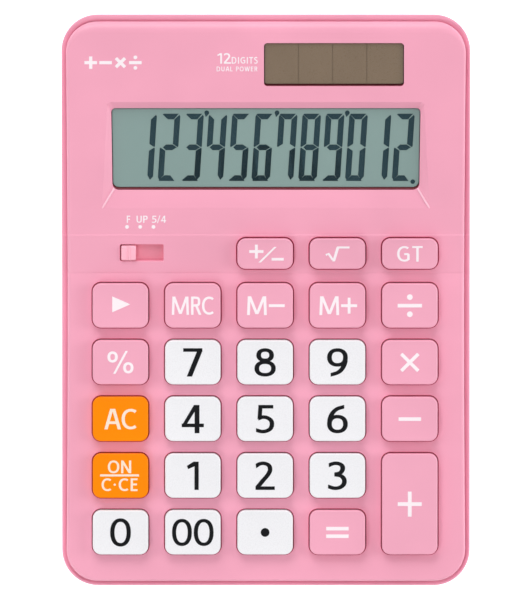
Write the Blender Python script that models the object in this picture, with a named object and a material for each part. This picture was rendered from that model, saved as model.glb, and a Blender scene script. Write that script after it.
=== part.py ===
"""A twelve-digit desk calculator: two shells, 27 keys, a rounding switch, a display and a solar panel.

Frame: +X to the user's right, +Y towards the display end, +Z up, origin at the middle of the base on the desk.
"""

import math

import bmesh
import bpy
from mathutils import Matrix, Vector

MM = 0.001

# Outline
BODY_WIDTH = 107.2 * MM
BODY_LENGTH = 149.9 * MM
BODY_CORNER = 9.5 * MM
RIM = 1.1 * MM  # how far the bottom case's rim stands outside the top case
WAIST = 0.0080  # share by which the top case narrows half way along
TOP_HALF_WIDTH = BODY_WIDTH / 2 - RIM
TOP_FRONT = -BODY_LENGTH / 2 + 1.2 * MM
TOP_REAR = BODY_LENGTH / 2 - 1.8 * MM
TOP_CORNER = BODY_CORNER - RIM
CORNER_STEPS = 4
WALL = 2.0 * MM
GAP = 0.3 * MM
PLATE_CORNER = 0.4 * MM

# Side profile of the face: key deck, function band, display facet
DECK_FRONT_Z = 12.0 * MM
DECK_TILT = math.radians(4.0)
BAND_TILT = math.radians(14.5)
DISPLAY_TILT = math.radians(12.0)
BAND_Y = 7.2 * MM
CREST_Y = 17.1 * MM
SIDE_LEVELS = (-40 * MM, -14 * MM, BAND_Y, CREST_Y, 45 * MM)

# Edges of the two shells
FACE_EDGE = 0.6 * MM
REAR_EDGE = 2.5 * MM
SIDE_HEIGHT = 2.6 * MM  # top case that shows above the rim
LIP_DEPTH = 0.7 * MM  # how far the top case sinks into the bottom case
RIM_DROP = 0.9 * MM  # height of the rim's slanted edge
RIM_INSET = 0.35 * MM
BASE_Z = 1.2 * MM  # the feet hold the underside this far up
BASE_ROUND = 2.0 * MM
BASE_DRAFT = 0.9 * MM

# Keys
KEY_FIELD_X = -0.2 * MM  # the middle column
COLUMN_PITCH = 19.0 * MM
ROW_PITCH = 14.9 * MM
FIRST_ROW_Y = -1.4 * MM
FUNCTION_ROW_Y = 12.2 * MM
KEY_WIDTH = 14.6 * MM
KEY_DEPTH = 11.7 * MM
FUNCTION_KEY_DEPTH = 8.1 * MM
KEY_CORNER = 2.2 * MM
KEY_RISE = 2.2 * MM
KEY_BEVEL = 0.6 * MM
KEY_WALL = 1.1 * MM
KEY_FLANGE = 0.5 * MM
KEY_FLANGE_THICK = 0.8 * MM
POST_HALF = 1.8 * MM
POST_DEPTH = 3.9 * MM
SMALL_CORNER_STEPS = 2  # arc steps in the corners of keys, windows and plates

# Layers under the deck, as depths below its surface
MAT_TOP = 6.2 * MM
MAT_THICK = 0.6 * MM
DOME_RISE = 0.5 * MM  # as when the key is down
DOME_FOOT = 3.4 * MM
DOME_TOP = 2.4 * MM
BOARD_TOP = MAT_TOP + MAT_THICK + GAP
BOARD_THICK = 1.2 * MM
BOARD_HALF_X = 49.6 * MM
BOARD_FRONT = -68.5 * MM
BOARD_REAR = 21.5 * MM

# Display
WINDOW_Y = 39.4 * MM
WINDOW_HALF_X = 40.4 * MM
WINDOW_HALF_V = 10.94 * MM
BEVEL_SIDE = 2.2 * MM
BEVEL_FRONT = 4.8 * MM
BEVEL_DEPTH = 1.2 * MM
WINDOW_CORNER = 1.3 * MM
LENS_TOP = 2.3 * MM  # depth below the face, as the others here
LENS_BOTTOM = 3.3 * MM
LENS_HALF_X = 43.5 * MM
LENS_HALF_V = 13.5 * MM
HOLDER_TOP = LENS_BOTTOM + GAP
HOLDER_BOTTOM = 5.6 * MM
HOLDER_EDGE = 1.0 * MM  # how far the holder stands out past the lens
LCD_TOP = HOLDER_BOTTOM + GAP
LCD_THICK = 2.8 * MM
LCD_HALF_X = 43.0 * MM
LCD_HALF_V = 13.2 * MM

# Solar window
SOLAR_X = 17.85 * MM
SOLAR_Y = 61.75 * MM
SOLAR_HALF_X = 18.35 * MM
SOLAR_HALF_V = 5.75 * MM
SOLAR_CORNER = 0.9 * MM
SOLAR_OVERLAP = 1.5 * MM  # plate past the window's edge
SOLAR_PLATE_BOTTOM = 3.1 * MM
SOLAR_CELL_THICK = 1.2 * MM

# Rounding switch
SLOT_X = -32.6 * MM
SLOT_Y = 12.5 * MM
SLOT_HALF_X = 5.7 * MM
SLOT_HALF_V = 2.25 * MM
KNOB_HALF_X = 1.95 * MM
KNOB_HALF_V = 1.95 * MM
KNOB_X = SLOT_X - SLOT_HALF_X + GAP + KNOB_HALF_X
KNOB_RISE = 0.8 * MM
KNOB_CHAMFER = 0.3 * MM
KNOB_GROOVE = 0.7 * MM
KNOB_GROOVE_DEPTH = 0.5 * MM
KNOB_FLANGE_HALF_X = 9.8 * MM  # long enough to close the slot in every position
KNOB_FLANGE_HALF_V = 3.0 * MM
KNOB_FLANGE_TOP = 2.4 * MM  # depth below the face
KNOB_FLANGE_THICK = 0.8 * MM
STEM_HALF = 1.5 * MM
STEM_BOTTOM = 5.5 * MM

# Screws and bosses
BOSS_X = 48.0 * MM
BOSS_RADIUS = 1.75 * MM
PILOT_RADIUS = 1.15 * MM
CASE_SCREW_YS = (-30 * MM, 50 * MM)
CASE_SEAT = 11.4 * MM  # depth of the screw seat below the face
BASE_BOSS_RADIUS = 3.0 * MM
BASE_BOSS_TOP = 7.05 * MM
COUNTERBORE = 2.4 * MM
BOARD_SCREW_VS = (-54 * MM, -2 * MM)
SHANK_RADIUS = 0.8 * MM
CASE_SCREW = (8.2 * MM, 2.1 * MM, 1.7 * MM)  # shank, head radius, head height
BOARD_SCREW = (5.0 * MM, 1.6 * MM, 1.2 * MM)

# Wires and strips
WIRE_RADIUS = 0.5 * MM
WIRE_STEPS = 2  # points for each stretch between two stops
STRIP_THICK = 0.25 * MM
CONNECTOR_HALF_X = 24.0 * MM

# Feet
FOOT_X = 42 * MM
FOOT_Y = 62 * MM
FOOT_RADIUS = 4.0 * MM
FOOT_POCKET = 0.8 * MM
FOOT_CHAMFER = 0.4 * MM

# Battery
CELL_Y = 54 * MM
CELL_RADIUS = 5.1 * MM
CELL_HALF = 21.8 * MM
CAVITY_HALF_X = 25 * MM
CAVITY_HALF_Y = 7.5 * MM
CAVITY_TOP = 14.1 * MM
COVER_FRONT = 44.6 * MM
COVER_TOP = 3.1 * MM
COVER_HALF_X = 23.7 * MM
COVER_TONGUE = 2.0 * MM
COVER_STEP_Z = 2.5 * MM
RIB_COUNT = 5
RIB_FIRST_Y = 50.0 * MM
RIB_PITCH = 2.4 * MM
RIB_HALF_X = 9.0 * MM
RIB_WIDTH = 1.0 * MM
RIB_HEIGHT = 0.4 * MM
CONTACT_THICK = 0.4 * MM
CONTACT_HALF_Y = 3.5 * MM
CELL_Z = COVER_TOP + 2 * GAP + CELL_RADIUS

COLOURS = {
    "case": ((0.91, 0.39, 0.50), 0.38, 0.0),
    "pink_key": ((0.91, 0.39, 0.50), 0.32, 0.0),
    "white_key": ((0.85, 0.86, 0.87), 0.30, 0.0),
    "orange_key": ((1.00, 0.24, 0.01), 0.30, 0.0),
    "clear": ((0.80, 0.84, 0.84), 0.05, 0.0),
    "lcd": ((0.26, 0.38, 0.35), 0.15, 0.0),
    "solar": ((0.13, 0.09, 0.06), 0.25, 0.0),
    "board": ((0.05, 0.25, 0.10), 0.45, 0.0),
    "black": ((0.02, 0.02, 0.02), 0.50, 0.0),
    "silicone": ((0.70, 0.70, 0.68), 0.60, 0.0),
    "rubber": ((0.30, 0.30, 0.31), 0.80, 0.0),
    "steel": ((0.62, 0.62, 0.62), 0.30, 1.0),
    "ribbon": ((0.75, 0.45, 0.12), 0.40, 0.0),
    "red_wire": ((0.60, 0.03, 0.03), 0.45, 0.0),
    "cell": ((0.10, 0.16, 0.40), 0.35, 0.2),
}


# Small tools

def clear_scene():
    for item in list(bpy.data.objects):
        bpy.data.objects.remove(item)


def material(name):
    found = bpy.data.materials.get(name)
    if found:
        return found
    colour, roughness, metallic = COLOURS[name]
    made = bpy.data.materials.new(name)
    made.use_nodes = True
    shader = made.node_tree.nodes["Principled BSDF"]
    shader.inputs["Base Color"].default_value = (*colour, 1.0)
    shader.inputs["Roughness"].default_value = roughness
    shader.inputs["Metallic"].default_value = metallic
    made.diffuse_color = (*colour, 1.0)
    return made


def new_object(name, bm, colour, frame=None):
    mesh = bpy.data.meshes.new(name)
    bm.to_mesh(mesh)
    bm.free()
    mesh.materials.append(material(colour))
    mesh.shade_smooth()
    mesh.set_sharp_from_angle(angle=math.radians(30))
    made = bpy.data.objects.new(name, mesh)
    bpy.context.collection.objects.link(made)
    if frame is not None:
        made.matrix_world = frame
    return made


def helper(name, bm, frame=None):
    """A cutter or an addition that only a Boolean reads."""
    made = new_object(name, bm, "black", frame)
    made.hide_render = True
    made.display_type = "WIRE"
    return made


def boolean(target, operand, operation):
    step = target.modifiers.new(operation.title() + "_" + operand.name, "BOOLEAN")
    step.operation = operation
    step.object = operand
    step.solver = "EXACT"


# Plan outlines and the rings made from them

def outline(half_width, front, rear, radius, levels=(), steps=CORNER_STEPS, waist=0.0):
    """(place, outward normal) pairs anticlockwise from the front right corner, mirrored in X."""
    right = []
    for centre_y, start in ((front + radius, -90), (rear - radius, 0)):
        if start == 0:
            right.extend(((half_width, y), (1.0, 0.0)) for y in levels)
        for k in range(steps + 1):
            turn = math.radians(start + 90 * k / steps)
            normal = (math.cos(turn), math.sin(turn))
            place = (half_width - radius + radius * normal[0], centre_y + radius * normal[1])
            right.append((place, normal))
    half = (rear - front) / 2
    bowed = []
    for (x, y), normal in right:
        share = 1 - waist * (1 - min(1.0, abs(y) / half) ** 2)
        bowed.append(((x * share, y), normal))
    left = [((-x, y), (-nx, ny)) for (x, y), (nx, ny) in reversed(bowed)]
    return bowed + left


def ring(path, inset, height):
    """The outline moved in by inset, at a height; either may be a function of (y, normal's y)."""
    places = []
    for (x, y), (nx, ny) in path:
        inward = inset(y, ny) if callable(inset) else inset
        px = x - nx * inward
        py = y - ny * inward
        pz = height(py, ny) if callable(height) else height
        places.append(Vector((px, py, pz)))
    return places


def add_rings(bm, rings, frame=None):
    """A closed solid skinned over the rings; the first is capped facing down and the last facing up."""
    frame = frame or Matrix()
    rows = [[bm.verts.new(frame @ place) for place in places] for places in rings]
    count = len(rows[0])
    for lower, upper in zip(rows, rows[1:]):
        for i in range(count):
            j = (i + 1) % count
            bm.faces.new((lower[i], lower[j], upper[j], upper[i]))
    for row, upward in ((rows[0], False), (rows[-1], True)):
        for i in range(count // 2 - 1):
            rung = (row[i], row[i + 1], row[-2 - i], row[-1 - i])
            bm.faces.new(rung if upward else rung[::-1])


def add_block(bm, low, high, frame=None):
    """A box between two corners."""
    half_width = (high[0] - low[0]) / 2
    centre = (high[0] + low[0]) / 2
    corners = [(half_width, low[1]), (half_width, high[1]), (-half_width, high[1]), (-half_width, low[1])]
    rings = [[Vector((centre + x, y, z)) for x, y in corners] for z in (low[2], high[2])]
    add_rings(bm, rings, frame)


def add_post(bm, centre, sections, frame=None, sides=16):
    """A turned solid along Z: sections are (radius, height) pairs from its bottom to its top."""
    rings = []
    for radius, height in sections:
        turns = [-math.pi / 2 + math.tau * (k + 0.5) / sides for k in range(sides)]
        rings.append([
            Vector((centre[0] + radius * math.cos(t), centre[1] + radius * math.sin(t), height)) for t in turns
        ])
    add_rings(bm, rings, frame)


def add_plate(bm, half_x, low_v, high_v, corner, bottom, top, frame=None, steps=SMALL_CORNER_STEPS):
    path = outline(half_x, low_v, high_v, corner, steps=steps)
    add_rings(bm, [ring(path, 0, bottom), ring(path, 0, top)], frame)


# The face and the frames on it

def face_z(y):
    rise = (min(y, BAND_Y) - TOP_FRONT) * math.tan(DECK_TILT)
    rise += max(0.0, min(y, CREST_Y) - BAND_Y) * math.tan(BAND_TILT)
    rise += max(0.0, y - CREST_Y) * math.tan(DISPLAY_TILT)
    return DECK_FRONT_Z + rise


def on_face(x, y, tilt):
    """A frame on the outer face, with Z along the normal of a facet of that tilt."""
    return Matrix.Translation((x, y, face_z(y))) @ Matrix.Rotation(tilt, 4, "X")


def parting_z(y, _=0.0):
    return face_z(y) - SIDE_HEIGHT


def top_path():
    return outline(TOP_HALF_WIDTH, TOP_FRONT, TOP_REAR, TOP_CORNER, SIDE_LEVELS, waist=WAIST)


def base_path():
    return outline(BODY_WIDTH / 2, -BODY_LENGTH / 2, BODY_LENGTH / 2, BODY_CORNER, SIDE_LEVELS)


DECK = on_face(0, 0, DECK_TILT)
DISPLAY = on_face(0, WINDOW_Y, DISPLAY_TILT)
SOLAR = on_face(SOLAR_X, SOLAR_Y, DISPLAY_TILT)
SWITCH = on_face(KNOB_X, SLOT_Y, BAND_TILT)


def deck_plane_z(y):
    """Height of the key deck's plane, also behind the band."""
    return DECK_FRONT_Z + (y - TOP_FRONT) * math.tan(DECK_TILT)


# Keys

def key_layout():
    """name, column, row (0 is the function row), depth, colour for each key."""
    rows = {
        0: ((3, "key_plus_minus"), (4, "key_square_root"), (5, "key_grand_total")),
        1: ((1, "key_check"), (2, "key_memory_recall"), (3, "key_memory_minus"), (4, "key_memory_plus"),
            (5, "key_divide")),
        2: ((1, "key_percent"), (2, "key_7"), (3, "key_8"), (4, "key_9"), (5, "key_multiply")),
        3: ((1, "key_all_clear"), (2, "key_4"), (3, "key_5"), (4, "key_6"), (5, "key_minus")),
        4: ((1, "key_on_clear"), (2, "key_1"), (3, "key_2"), (4, "key_3"), (5, "key_plus")),
        5: ((1, "key_0"), (2, "key_00"), (3, "key_point"), (4, "key_equals")),
    }
    white = {"key_point", "key_00"} | {f"key_{digit}" for digit in range(10)}
    orange = {"key_all_clear", "key_on_clear"}
    keys = []
    for row, entries in rows.items():
        for column, name in entries:
            x = KEY_FIELD_X + (column - 3) * COLUMN_PITCH
            y = FUNCTION_ROW_Y if row == 0 else FIRST_ROW_Y - (row - 1) * ROW_PITCH
            depth = FUNCTION_KEY_DEPTH if row == 0 else KEY_DEPTH
            if name == "key_plus":
                y -= ROW_PITCH / 2
                depth += ROW_PITCH
            colour = "white_key" if name in white else "orange_key" if name in orange else "pink_key"
            keys.append((name, x, y + KEY_RISE * math.sin(DECK_TILT), depth, colour, row == 0))
    return keys


def key_frame(x, y):
    return on_face(x, y, DECK_TILT)


def make_key(name, x, y, depth, colour, on_band):
    """A hollow cap with a flange that stops it under the case and a post over its dome."""
    slope = math.tan(BAND_TILT - DECK_TILT) if on_band else 0.0
    lift = face_z(y) - deck_plane_z(y)
    cap = outline(KEY_WIDTH / 2, -depth / 2, depth / 2, KEY_CORNER, steps=SMALL_CORNER_STEPS)
    post = outline(POST_HALF, -POST_HALF, POST_HALF, POST_HALF / 2, steps=SMALL_CORNER_STEPS)
    flange_bottom = -(WALL + GAP + KEY_FLANGE_THICK)

    def leaning(base):
        return lambda v, _: base + slope * v

    rings = [
        ring(post, 0, -POST_DEPTH - lift),
        ring(post, 0, leaning(KEY_RISE - KEY_WALL)),
        ring(cap, KEY_WALL, leaning(KEY_RISE - KEY_WALL)),
        ring(cap, KEY_WALL, leaning(flange_bottom)),
        ring(cap, -KEY_FLANGE, leaning(flange_bottom)),
        ring(cap, -KEY_FLANGE, leaning(flange_bottom + KEY_FLANGE_THICK)),
        ring(cap, 0, leaning(flange_bottom + KEY_FLANGE_THICK)),
        ring(cap, 0, leaning(KEY_RISE - KEY_BEVEL)),
        ring(cap, KEY_BEVEL, leaning(KEY_RISE)),
    ]
    bm = bmesh.new()
    add_rings(bm, rings)
    new_object(name, bm, colour, key_frame(x, y))


# Top case

def add_key_holes(bm):
    for _, x, y, depth, _, _ in key_layout():
        add_plate(
            bm, KEY_WIDTH / 2 + GAP, -depth / 2 - GAP, depth / 2 + GAP, KEY_CORNER + GAP,
            -3 * WALL, 2 * WALL, key_frame(x, y),
        )


def add_windows(bm):
    add_plate(
        bm, SOLAR_HALF_X, -SOLAR_HALF_V, SOLAR_HALF_V, SOLAR_CORNER, -2 * WALL, WALL, SOLAR,
    )
    slot = on_face(SLOT_X, SLOT_Y, BAND_TILT)
    add_plate(bm, SLOT_HALF_X, -SLOT_HALF_V, SLOT_HALF_V, GAP, -2 * WALL, WALL, slot)


def recess_ring(share, height):
    """The display recess outline: share 0 at the window, 1 at the face."""
    path = outline(
        WINDOW_HALF_X + share * BEVEL_SIDE,
        -WINDOW_HALF_V - share * BEVEL_FRONT,
        WINDOW_HALF_V + share * BEVEL_SIDE,
        WINDOW_CORNER,
        steps=SMALL_CORNER_STEPS,
    )
    return ring(path, 0, height)


def add_recess(bm):
    above = 0.5 * MM
    rings = [
        recess_ring(0, -2 * WALL),
        recess_ring(0, -BEVEL_DEPTH),
        recess_ring(1 + above / BEVEL_DEPTH, above),
    ]
    add_rings(bm, rings, DISPLAY)


def make_top_case():
    path = top_path()
    inner_bottom = SIDE_HEIGHT + LIP_DEPTH - GAP

    def edge(ny):
        return FACE_EDGE + (REAR_EDGE - FACE_EDGE) * max(0.0, ny) ** 2

    def under_face(depth):
        return lambda y, _: face_z(y) - depth

    rings = [
        ring(path, WALL, under_face(WALL)),
        ring(path, WALL, under_face(inner_bottom)),
        ring(path, 0, under_face(inner_bottom)),
    ]
    for turn in (0, 30, 60, 90):
        across = 1 - math.cos(math.radians(turn))
        down = 1 - math.sin(math.radians(turn))
        rings.append(ring(
            path,
            lambda y, ny, across=across: edge(ny) * across,
            lambda y, ny, down=down: face_z(y) - edge(ny) * down,
        ))
    shell = bmesh.new()
    add_rings(shell, rings)
    case = new_object("top_case", shell, "case")

    bosses = bmesh.new()
    for side in (-1, 1):
        x = side * BOSS_X
        for y in CASE_SCREW_YS:
            add_post(bosses, (x, y), [
                (BOSS_RADIUS, face_z(y) - BASE_BOSS_TOP + GAP), (BOSS_RADIUS, face_z(y) - WALL / 2),
            ])
        for v in BOARD_SCREW_VS:
            add_post(bosses, (x, v), [(BOSS_RADIUS, -BOARD_TOP + GAP), (BOSS_RADIUS, -WALL / 2)], DECK)
    boolean(case, helper("top_bosses", bosses), "UNION")

    cuts = bmesh.new()
    add_key_holes(cuts)
    add_windows(cuts)
    add_recess(cuts)
    for side in (-1, 1):
        x = side * BOSS_X
        for y in CASE_SCREW_YS:
            add_post(cuts, (x, y), [
                (PILOT_RADIUS, face_z(y) - 2 * BASE_BOSS_TOP), (PILOT_RADIUS, face_z(y) - 1.3 * WALL),
            ], sides=10)
        for v in BOARD_SCREW_VS:
            add_post(cuts, (x, v), [(PILOT_RADIUS, -2 * BOARD_TOP), (PILOT_RADIUS, -1.3 * WALL)], DECK, sides=10)
    boolean(case, helper("top_cuts", cuts), "DIFFERENCE")


# Bottom case and battery cover

def base_outer_rings():
    path = base_path()
    rings = []
    for turn in (0, 45, 90):
        across = BASE_ROUND * (1 - math.sin(math.radians(turn)))
        up = BASE_ROUND * (1 - math.cos(math.radians(turn)))
        rings.append(ring(path, BASE_DRAFT + across, BASE_Z + up))
    rings.append(ring(path, 0, lambda y, _: parting_z(y) - RIM_DROP))
    rings.append(ring(path, RIM_INSET, parting_z))
    return rings


def make_bottom_case():
    inner = top_path()

    def ledge(y, _):
        return parting_z(y) - LIP_DEPTH

    rings = base_outer_rings() + [
        ring(inner, -GAP, parting_z),
        ring(inner, -GAP, ledge),
        ring(inner, WALL, ledge),
        ring(inner, WALL, BASE_Z + 1.6 * WALL),
        ring(inner, 1.5 * WALL, BASE_Z + WALL),
    ]
    shell = bmesh.new()
    add_rings(shell, rings)
    case = new_object("bottom_case", shell, "case")

    bosses = bmesh.new()
    for side in (-1, 1):
        for y in CASE_SCREW_YS:
            add_post(bosses, (side * BOSS_X, y), [
                (BASE_BOSS_RADIUS, BASE_Z + WALL / 2), (BASE_BOSS_RADIUS, face_z(y) - BASE_BOSS_TOP),
            ])
    boolean(case, helper("base_bosses", bosses), "UNION")

    box = bmesh.new()
    outer_x = CAVITY_HALF_X + WALL
    outer_y = CAVITY_HALF_Y + 0.75 * WALL
    add_block(
        box, (-outer_x, CELL_Y - outer_y, BASE_Z + WALL / 2), (outer_x, CELL_Y + outer_y, CAVITY_TOP + 0.6 * WALL),
    )
    boolean(case, helper("battery_box", box), "UNION")

    shelf = bmesh.new()
    shelf_x = CAVITY_HALF_X + 1.5 * WALL
    add_block(
        shelf, (-shelf_x, COVER_FRONT - WALL, BASE_Z + 0.7 * WALL), (shelf_x, TOP_REAR - WALL / 2, COVER_TOP + WALL),
    )
    boolean(case, helper("cover_shelf", shelf), "UNION")

    cavity = bmesh.new()
    add_block(
        cavity,
        (-CAVITY_HALF_X, CELL_Y - CAVITY_HALF_Y, COVER_STEP_Z),
        (CAVITY_HALF_X, CELL_Y + CAVITY_HALF_Y, CAVITY_TOP),
    )
    boolean(case, helper("battery_cavity", cavity), "DIFFERENCE")

    slot = bmesh.new()
    far = BODY_LENGTH
    tongue_x = COVER_HALF_X + COVER_TONGUE + GAP
    add_block(slot, (-tongue_x, COVER_FRONT - GAP, COVER_STEP_Z - GAP), (tongue_x, far, COVER_TOP + GAP))
    boolean(case, helper("cover_groove", slot), "DIFFERENCE")

    mouth = bmesh.new()
    mouth_x = COVER_HALF_X + GAP
    add_block(mouth, (-mouth_x, COVER_FRONT - GAP, 0), (mouth_x, far, COVER_STEP_Z))
    boolean(case, helper("cover_mouth", mouth), "DIFFERENCE")

    cuts = bmesh.new()
    for side in (-1, 1):
        for y in CASE_SCREW_YS:
            seat = face_z(y) - CASE_SEAT
            add_post(cuts, (side * BOSS_X, y), [
                (COUNTERBORE, 0), (COUNTERBORE, seat), (PILOT_RADIUS, seat), (PILOT_RADIUS, face_z(y)),
            ], sides=12)
        for y in (-FOOT_Y, FOOT_Y):
            add_post(cuts, (side * FOOT_X, y), [
                (FOOT_RADIUS + GAP, 0), (FOOT_RADIUS + GAP, BASE_Z + FOOT_POCKET),
            ])
        wall_x = side * (CAVITY_HALF_X + WALL / 2)
        add_block(
            cuts, (wall_x - WALL, CELL_Y - 1 * MM, 11.9 * MM), (wall_x + WALL, CELL_Y + 1 * MM, 13.7 * MM),
        )
    boolean(case, helper("base_cuts", cuts), "DIFFERENCE")


def make_battery_cover():
    """A plate with side tongues, cut to the base's rounded rear edge, with grip ribs."""
    tongue_x = COVER_HALF_X + COVER_TONGUE
    half_section = [
        (COVER_HALF_X, 0), (COVER_HALF_X, COVER_STEP_Z), (tongue_x, COVER_STEP_Z), (tongue_x, COVER_TOP),
    ]
    section = half_section + [(-x, z) for x, z in reversed(half_section)]
    bm = bmesh.new()
    near = [bm.verts.new((x, COVER_FRONT, z)) for x, z in section]
    far = [bm.verts.new((x, BODY_LENGTH, z)) for x, z in section]
    bm.faces.new(near)
    bm.faces.new(far[::-1])
    for i in range(len(section)):
        j = (i + 1) % len(section)
        bm.faces.new((near[j], near[i], far[i], far[j]))
    cover = new_object("battery_cover", bm, "case")

    envelope = bmesh.new()
    add_rings(envelope, base_outer_rings())
    boolean(cover, helper("base_envelope", envelope), "INTERSECT")

    ribs = bmesh.new()
    for k in range(RIB_COUNT):
        y = RIB_FIRST_Y + k * RIB_PITCH
        low = (-RIB_HALF_X, y, BASE_Z - RIB_HEIGHT)
        high = (RIB_HALF_X, y + RIB_WIDTH, BASE_Z + RIB_HEIGHT)
        add_block(ribs, low, high)
    boolean(cover, helper("cover_ribs", ribs), "UNION")


# Display and solar panel

def make_display():
    lens = bmesh.new()
    add_plate(lens, LENS_HALF_X, -LENS_HALF_V, LENS_HALF_V, HOLDER_EDGE, -LENS_BOTTOM, -LENS_TOP)
    new_object("display_window", lens, "clear", DISPLAY)

    holder = bmesh.new()
    outer = outline(
        LENS_HALF_X + HOLDER_EDGE, -LENS_HALF_V - HOLDER_EDGE, LENS_HALF_V + HOLDER_EDGE, HOLDER_EDGE,
        steps=SMALL_CORNER_STEPS,
    )
    opening = outline(
        WINDOW_HALF_X - GAP, -WINDOW_HALF_V + 0.8 * GAP, WINDOW_HALF_V, 0.6 * WINDOW_CORNER,
        steps=SMALL_CORNER_STEPS,
    )
    loops = [
        ring(opening, 0, -HOLDER_TOP), ring(opening, 0, -HOLDER_BOTTOM),
        ring(outer, 0, -HOLDER_BOTTOM), ring(outer, 0, -HOLDER_TOP),
    ]
    rows = [[holder.verts.new(place) for place in places] for places in loops]
    count = len(outer)
    for k, row in enumerate(rows):
        after = rows[(k + 1) % len(rows)]
        for i in range(count):
            j = (i + 1) % count
            holder.faces.new((row[i], row[j], after[j], after[i]))
    new_object("lcd_holder", holder, "case", DISPLAY)

    panel = bmesh.new()
    add_plate(panel, LCD_HALF_X, -LCD_HALF_V, LCD_HALF_V, PLATE_CORNER, -LCD_TOP - LCD_THICK, -LCD_TOP)
    new_object("lcd_panel", panel, "lcd", DISPLAY)


def make_strip(name, route, thickness, low_x, high_x, colour, along_x=False):
    """A thin strip: a route in a vertical plane, thickened and drawn out sideways."""
    upper = []
    lower = []
    for i, (a, z) in enumerate(route):
        before = Vector(route[max(i - 1, 0)])
        after = Vector(route[min(i + 1, len(route) - 1)])
        run = (after - before).normalized()
        side = Vector((-run.y, run.x)) * thickness / 2
        upper.append((a + side.x, z + side.y))
        lower.append((a - side.x, z - side.y))
    section = upper + lower[::-1]
    bm = bmesh.new()
    ends = []
    for x in (low_x, high_x):
        ends.append([bm.verts.new((a, x, z) if along_x else (x, a, z)) for a, z in section])
    bm.faces.new(ends[0])
    bm.faces.new(ends[1][::-1])
    for i in range(len(section)):
        j = (i + 1) % len(section)
        bm.faces.new((ends[0][i], ends[1][i], ends[1][j], ends[0][j]))
    bmesh.ops.recalc_face_normals(bm, faces=bm.faces)
    return new_object(name, bm, colour)


def make_lcd_connector():
    route = [(31.5 * MM, 13.7 * MM), (28.5 * MM, 12.8 * MM), (24.5 * MM, 12.25 * MM), (19.5 * MM, 11.95 * MM)]
    make_strip("lcd_connector", route, STRIP_THICK, -CONNECTOR_HALF_X, CONNECTOR_HALF_X, "ribbon")


def make_solar():
    lens = bmesh.new()
    half_x = SOLAR_HALF_X + SOLAR_OVERLAP
    half_v = SOLAR_HALF_V + SOLAR_OVERLAP
    add_plate(lens, half_x, -half_v, half_v, 2 * PLATE_CORNER, -SOLAR_PLATE_BOTTOM, -LENS_TOP)
    new_object("solar_window", lens, "clear", SOLAR)

    panel = bmesh.new()
    top = -SOLAR_PLATE_BOTTOM - GAP
    add_plate(panel, half_x, -half_v + GAP, half_v - GAP, PLATE_CORNER, top - SOLAR_CELL_THICK, top)
    new_object("solar_panel", panel, "solar", SOLAR)


# Board, mat and switch

def make_circuit_board():
    bm = bmesh.new()
    add_block(bm, (-BOARD_HALF_X, BOARD_FRONT, -BOARD_TOP - BOARD_THICK), (BOARD_HALF_X, BOARD_REAR, -BOARD_TOP))
    board = new_object("circuit_board", bm, "board", DECK)
    cuts = bmesh.new()
    for side in (-1, 1):
        x = side * BOSS_X
        add_post(
            cuts, (x, CASE_SCREW_YS[0]),
            [(BASE_BOSS_RADIUS + 2 * GAP, 0), (BASE_BOSS_RADIUS + 2 * GAP, 2 * DECK_FRONT_Z)],
        )
        for v in BOARD_SCREW_VS:
            add_post(cuts, (x, v), [(PILOT_RADIUS, -2 * BOARD_TOP), (PILOT_RADIUS, 0)], DECK, sides=10)
    boolean(board, helper("board_cuts", cuts), "DIFFERENCE")


def make_chip_blob():
    top = -BOARD_TOP - BOARD_THICK - GAP
    bm = bmesh.new()
    add_post(bm, (0, -10 * MM), [
        (2.5 * MM, top - 2.0 * MM), (5.0 * MM, top - 1.4 * MM), (6.5 * MM, top),
    ])
    new_object("chip_blob", bm, "black", DECK)


def make_key_mat():
    """A silicone sheet, cut back round the switch, with a dome under each key at its pressed height."""
    corners = [
        (-44.5, -68.0), (44.5, -68.0), (44.5, 18.5), (-10.0, 18.5), (-10.0, 6.5), (-44.5, 6.5),
    ]
    bm = bmesh.new()
    rows = []
    for depth in (MAT_TOP + MAT_THICK, MAT_TOP):
        rows.append([bm.verts.new((x * MM, v * MM, -depth)) for x, v in corners])
    bm.faces.new(rows[0][::-1])
    bm.faces.new(rows[1])
    for i in range(len(corners)):
        j = (i + 1) % len(corners)
        bm.faces.new((rows[0][i], rows[0][j], rows[1][j], rows[1][i]))
    mat = new_object("key_mat", bm, "silicone", DECK)
    domes = bmesh.new()
    for _, x, y, _, _, _ in key_layout():
        place = DECK.inverted() @ key_frame(x, y).translation
        add_post(domes, (place.x, place.y), [
            (DOME_FOOT, -MAT_TOP - MAT_THICK / 2), (DOME_FOOT, -MAT_TOP), (DOME_TOP, -MAT_TOP + DOME_RISE),
        ], sides=8)
    boolean(mat, helper("mat_domes", domes, DECK), "UNION")


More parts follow.
